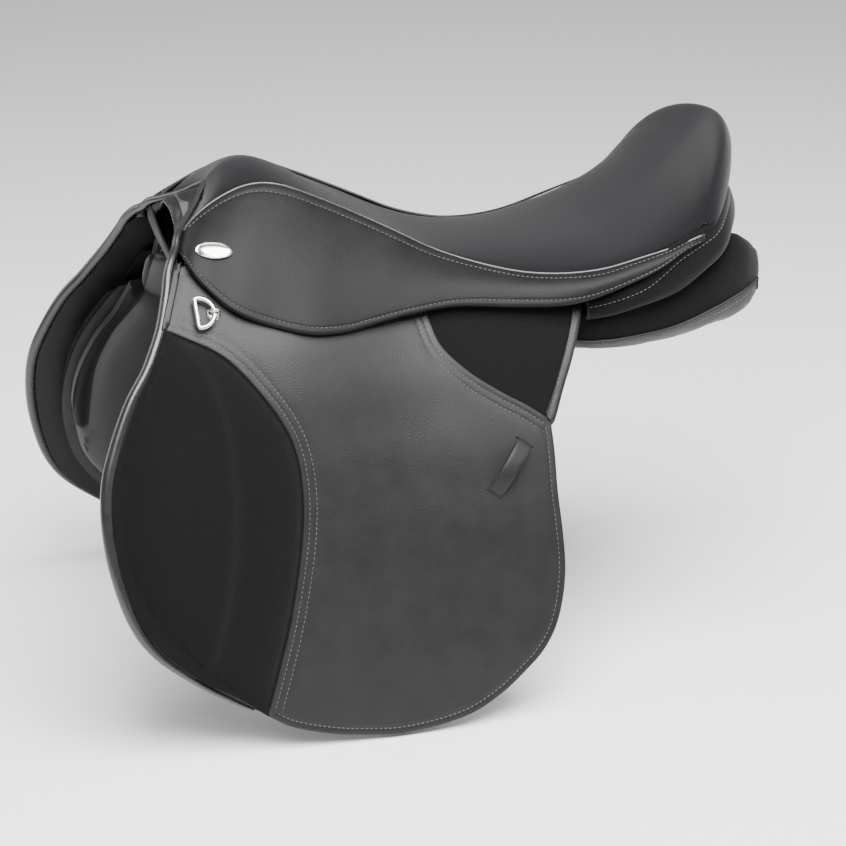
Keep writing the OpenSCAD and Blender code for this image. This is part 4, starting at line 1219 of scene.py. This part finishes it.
def sweat_flap(tag, side):
    def outer_face(y, z, e=None):
        if e is None:
            e, _ = to_segments(np.stack([y, z], axis=1), SWEAT_LOOP, True)
        return -20 + rounded(e, 1.2) + groove(e, EDGE_ROW, 0.4)

    v, f = side_sheet(SWEAT_LOOP, outer_face, -23.6, rings=EDGE_RINGS, spacing=9.0)
    obj = add_mesh(f"sweat_flap_{tag}", v, f, PANEL_LEATHER, side)
    settle(obj, replaces=(f"sweat_flap_{tag}",))
    line = inset(SWEAT_LOOP, EDGE_ROW, True)
    line = line[line[:, 1] < 18]
    start = int(np.argmax(np.linalg.norm(line - np.roll(line, 1, axis=0), axis=1)))
    line = np.roll(line, -start, axis=0)
    parts = [side_stitches(line, outer_face)]
    obj = add_mesh(f"sweat_flap_stitches_{tag}", *joined(parts), THREAD, side)
    settle(obj)


def block(name, tag, side, loop, height):
    """Padded leather block standing on the sweat flap."""
    def face(y, z, e=None):
        return -19.4 + height * dome(e / 16) + groove(e, 3.2, 0.6, 0.9)

    v, f = side_sheet(loop, face, -19.6, rings=(0.5, 1.4, 2.4, 3.2, 4.0, 6.0, 9.0), spacing=5.0)
    obj = add_mesh(f"{name}_{tag}", v, f, LEATHER, side)
    settle(obj, replaces=(f"{name}_{tag}",))


def knee_block(tag, side):
    loop = loop_of(
        [(-262, 14), (-275, -8), (-286, -32), (-292, -58), (-294, -84), (-292, -110), (-286, -134),
         (-274, -152), (-256, -156), (-243, -148), (-246, -130), (-248, -107), (-249, -81),
         (-248, -54), (-244, -28), (-236, -4), (-226, 14), (-240, 21), (-256, 20), (-262, 14)])
    block("knee_block", tag, side, loop, 10.5)


def thigh_block(tag, side):
    loop = loop_of(
        [(-7, -52), (-8, -66), (-8, -90), (-8, -114), (-7, -132), (2, -140), (12, -134), (17, -116),
         (18, -92), (17, -68), (14, -52), (4, -44), (-7, -52)])
    block("thigh_block", tag, side, loop, 9.5)


def point_pocket(tag, side):
    loop = loop_of([(-232, 55), (-238, 42), (-243, 29)], [(-243, 29), (-182, 29)],
                   [(-182, 29), (-184, 42), (-186, 55)], [(-186, 55), (-232, 55)])
    v, f = side_sheet(loop, lambda y, z, e: -9.3 + rounded(e, 1.0) + groove(e, 3.4, 0.4), -11.5,
                      rings=(0.5, 1.4, 2.6, 3.4, 4.2), spacing=6.0)
    obj = add_mesh(f"point_pocket_{tag}", v, f, LEATHER, side)
    settle(obj, replaces=(f"point_pocket_{tag}",))


# ---- carried-over hard parts ----
CAD_FINISH = {
    "tree": POLYMER, "gullet_plate": STEEL, "gullet_screws": STEEL, "seat_webs": WEBBING,
    "stirrup_bar": STEEL, "bar_rivets": NICKEL, "bar_catch": STEEL, "girth_web": WEBBING,
    "front_strap": EDGE_LEATHER, "rear_strap": EDGE_LEATHER,
}


def finish_cad():
    for name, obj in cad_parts.items():
        base = name.replace("_near", "").replace("_off", "")
        if base in CAD_FINISH:
            obj.data.materials.clear()
            obj.data.materials.append(CAD_FINISH[base])


# ---- studio ----
TARGET = np.array([0, -24, -86.0])
AZIMUTH, ELEVATION, DISTANCE = 73.5, 19.7, 2400
LENS = 125.2


def aim(obj, place, target):
    obj.location = Vector(place) * MM
    obj.rotation_euler = (Vector(target) - Vector(place)).to_track_quat("-Z", "Y").to_euler()


def studio():
    a, e = math.radians(AZIMUTH), math.radians(ELEVATION)
    back = np.array([math.sin(a) * math.cos(e), -math.cos(a) * math.cos(e), math.sin(e)])
    cam = bpy.data.objects.new("camera", bpy.data.cameras.new("camera"))
    cam.data.lens = LENS
    cam.data.sensor_width = 36
    aim(cam, TARGET + DISTANCE * back, TARGET)
    bpy.context.collection.objects.link(cam)
    bpy.context.scene.camera = cam
    for name, place, target, size, power in (
        ("overhead", (800, 0, 1550), (0, 0, 0), (1.5, 1.5), 135),
        ("key", (1500, -900, 1500), (0, 0, 60), (0.9, 0.9), 20),
        ("back_strip", (-900, -1200, 700), (0, -100, 0), (0.4, 1.4), 9),
        ("rear_strip", (300, 1700, 900), (0, 0, 0), (0.6, 1.2), 16),
    ):
        light = bpy.data.lights.new(name, "AREA")
        light.shape = "RECTANGLE"
        light.size, light.size_y = size
        light.energy = power
        obj = bpy.data.objects.new(name, light)
        bpy.context.collection.objects.link(obj)
        aim(obj, place, target)
    world = bpy.data.worlds.new("studio")
    world.use_nodes = True
    world.node_tree.nodes["Background"].inputs["Color"].default_value = (1, 1, 1, 1)
    world.node_tree.nodes["Background"].inputs["Strength"].default_value = 0.45
    bpy.context.scene.world = world
    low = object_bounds()[0][2]
    bpy.ops.mesh.primitive_plane_add(size=30, location=(0, 0, low - 0.002))
    floor = bpy.context.object
    floor.name = "floor"
    paint = finish_of("floor_paint", (0.86, 0.86, 0.86), (0.88, 0.88, 0.88), (0.7, 0.8), ("nap", 30, 0.0001))
    floor.data.materials.append(paint)
    floor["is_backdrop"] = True


# ---- build ----
seat_cover()
cantle_band()
arch_lining()
panels()
for tag, side in SIDES:
    seat_piping(tag, side)
    skirt(tag, side)
    badge(tag, side)
    flap_base(tag, side)
    flap_leather(tag, side)
    knee_patch(tag, side)
    rear_wedge(tag, side)
    rear_strip(tag, side)
    front_strip(tag, side)
    front_roll(tag, side)
    keeper(tag, side)
    dee(tag, side)
    panel_leg(tag, side)
    sweat_flap(tag, side)
    knee_block(tag, side)
    thigh_block(tag, side)
    point_pocket(tag, side)
finish_cad()
studio()
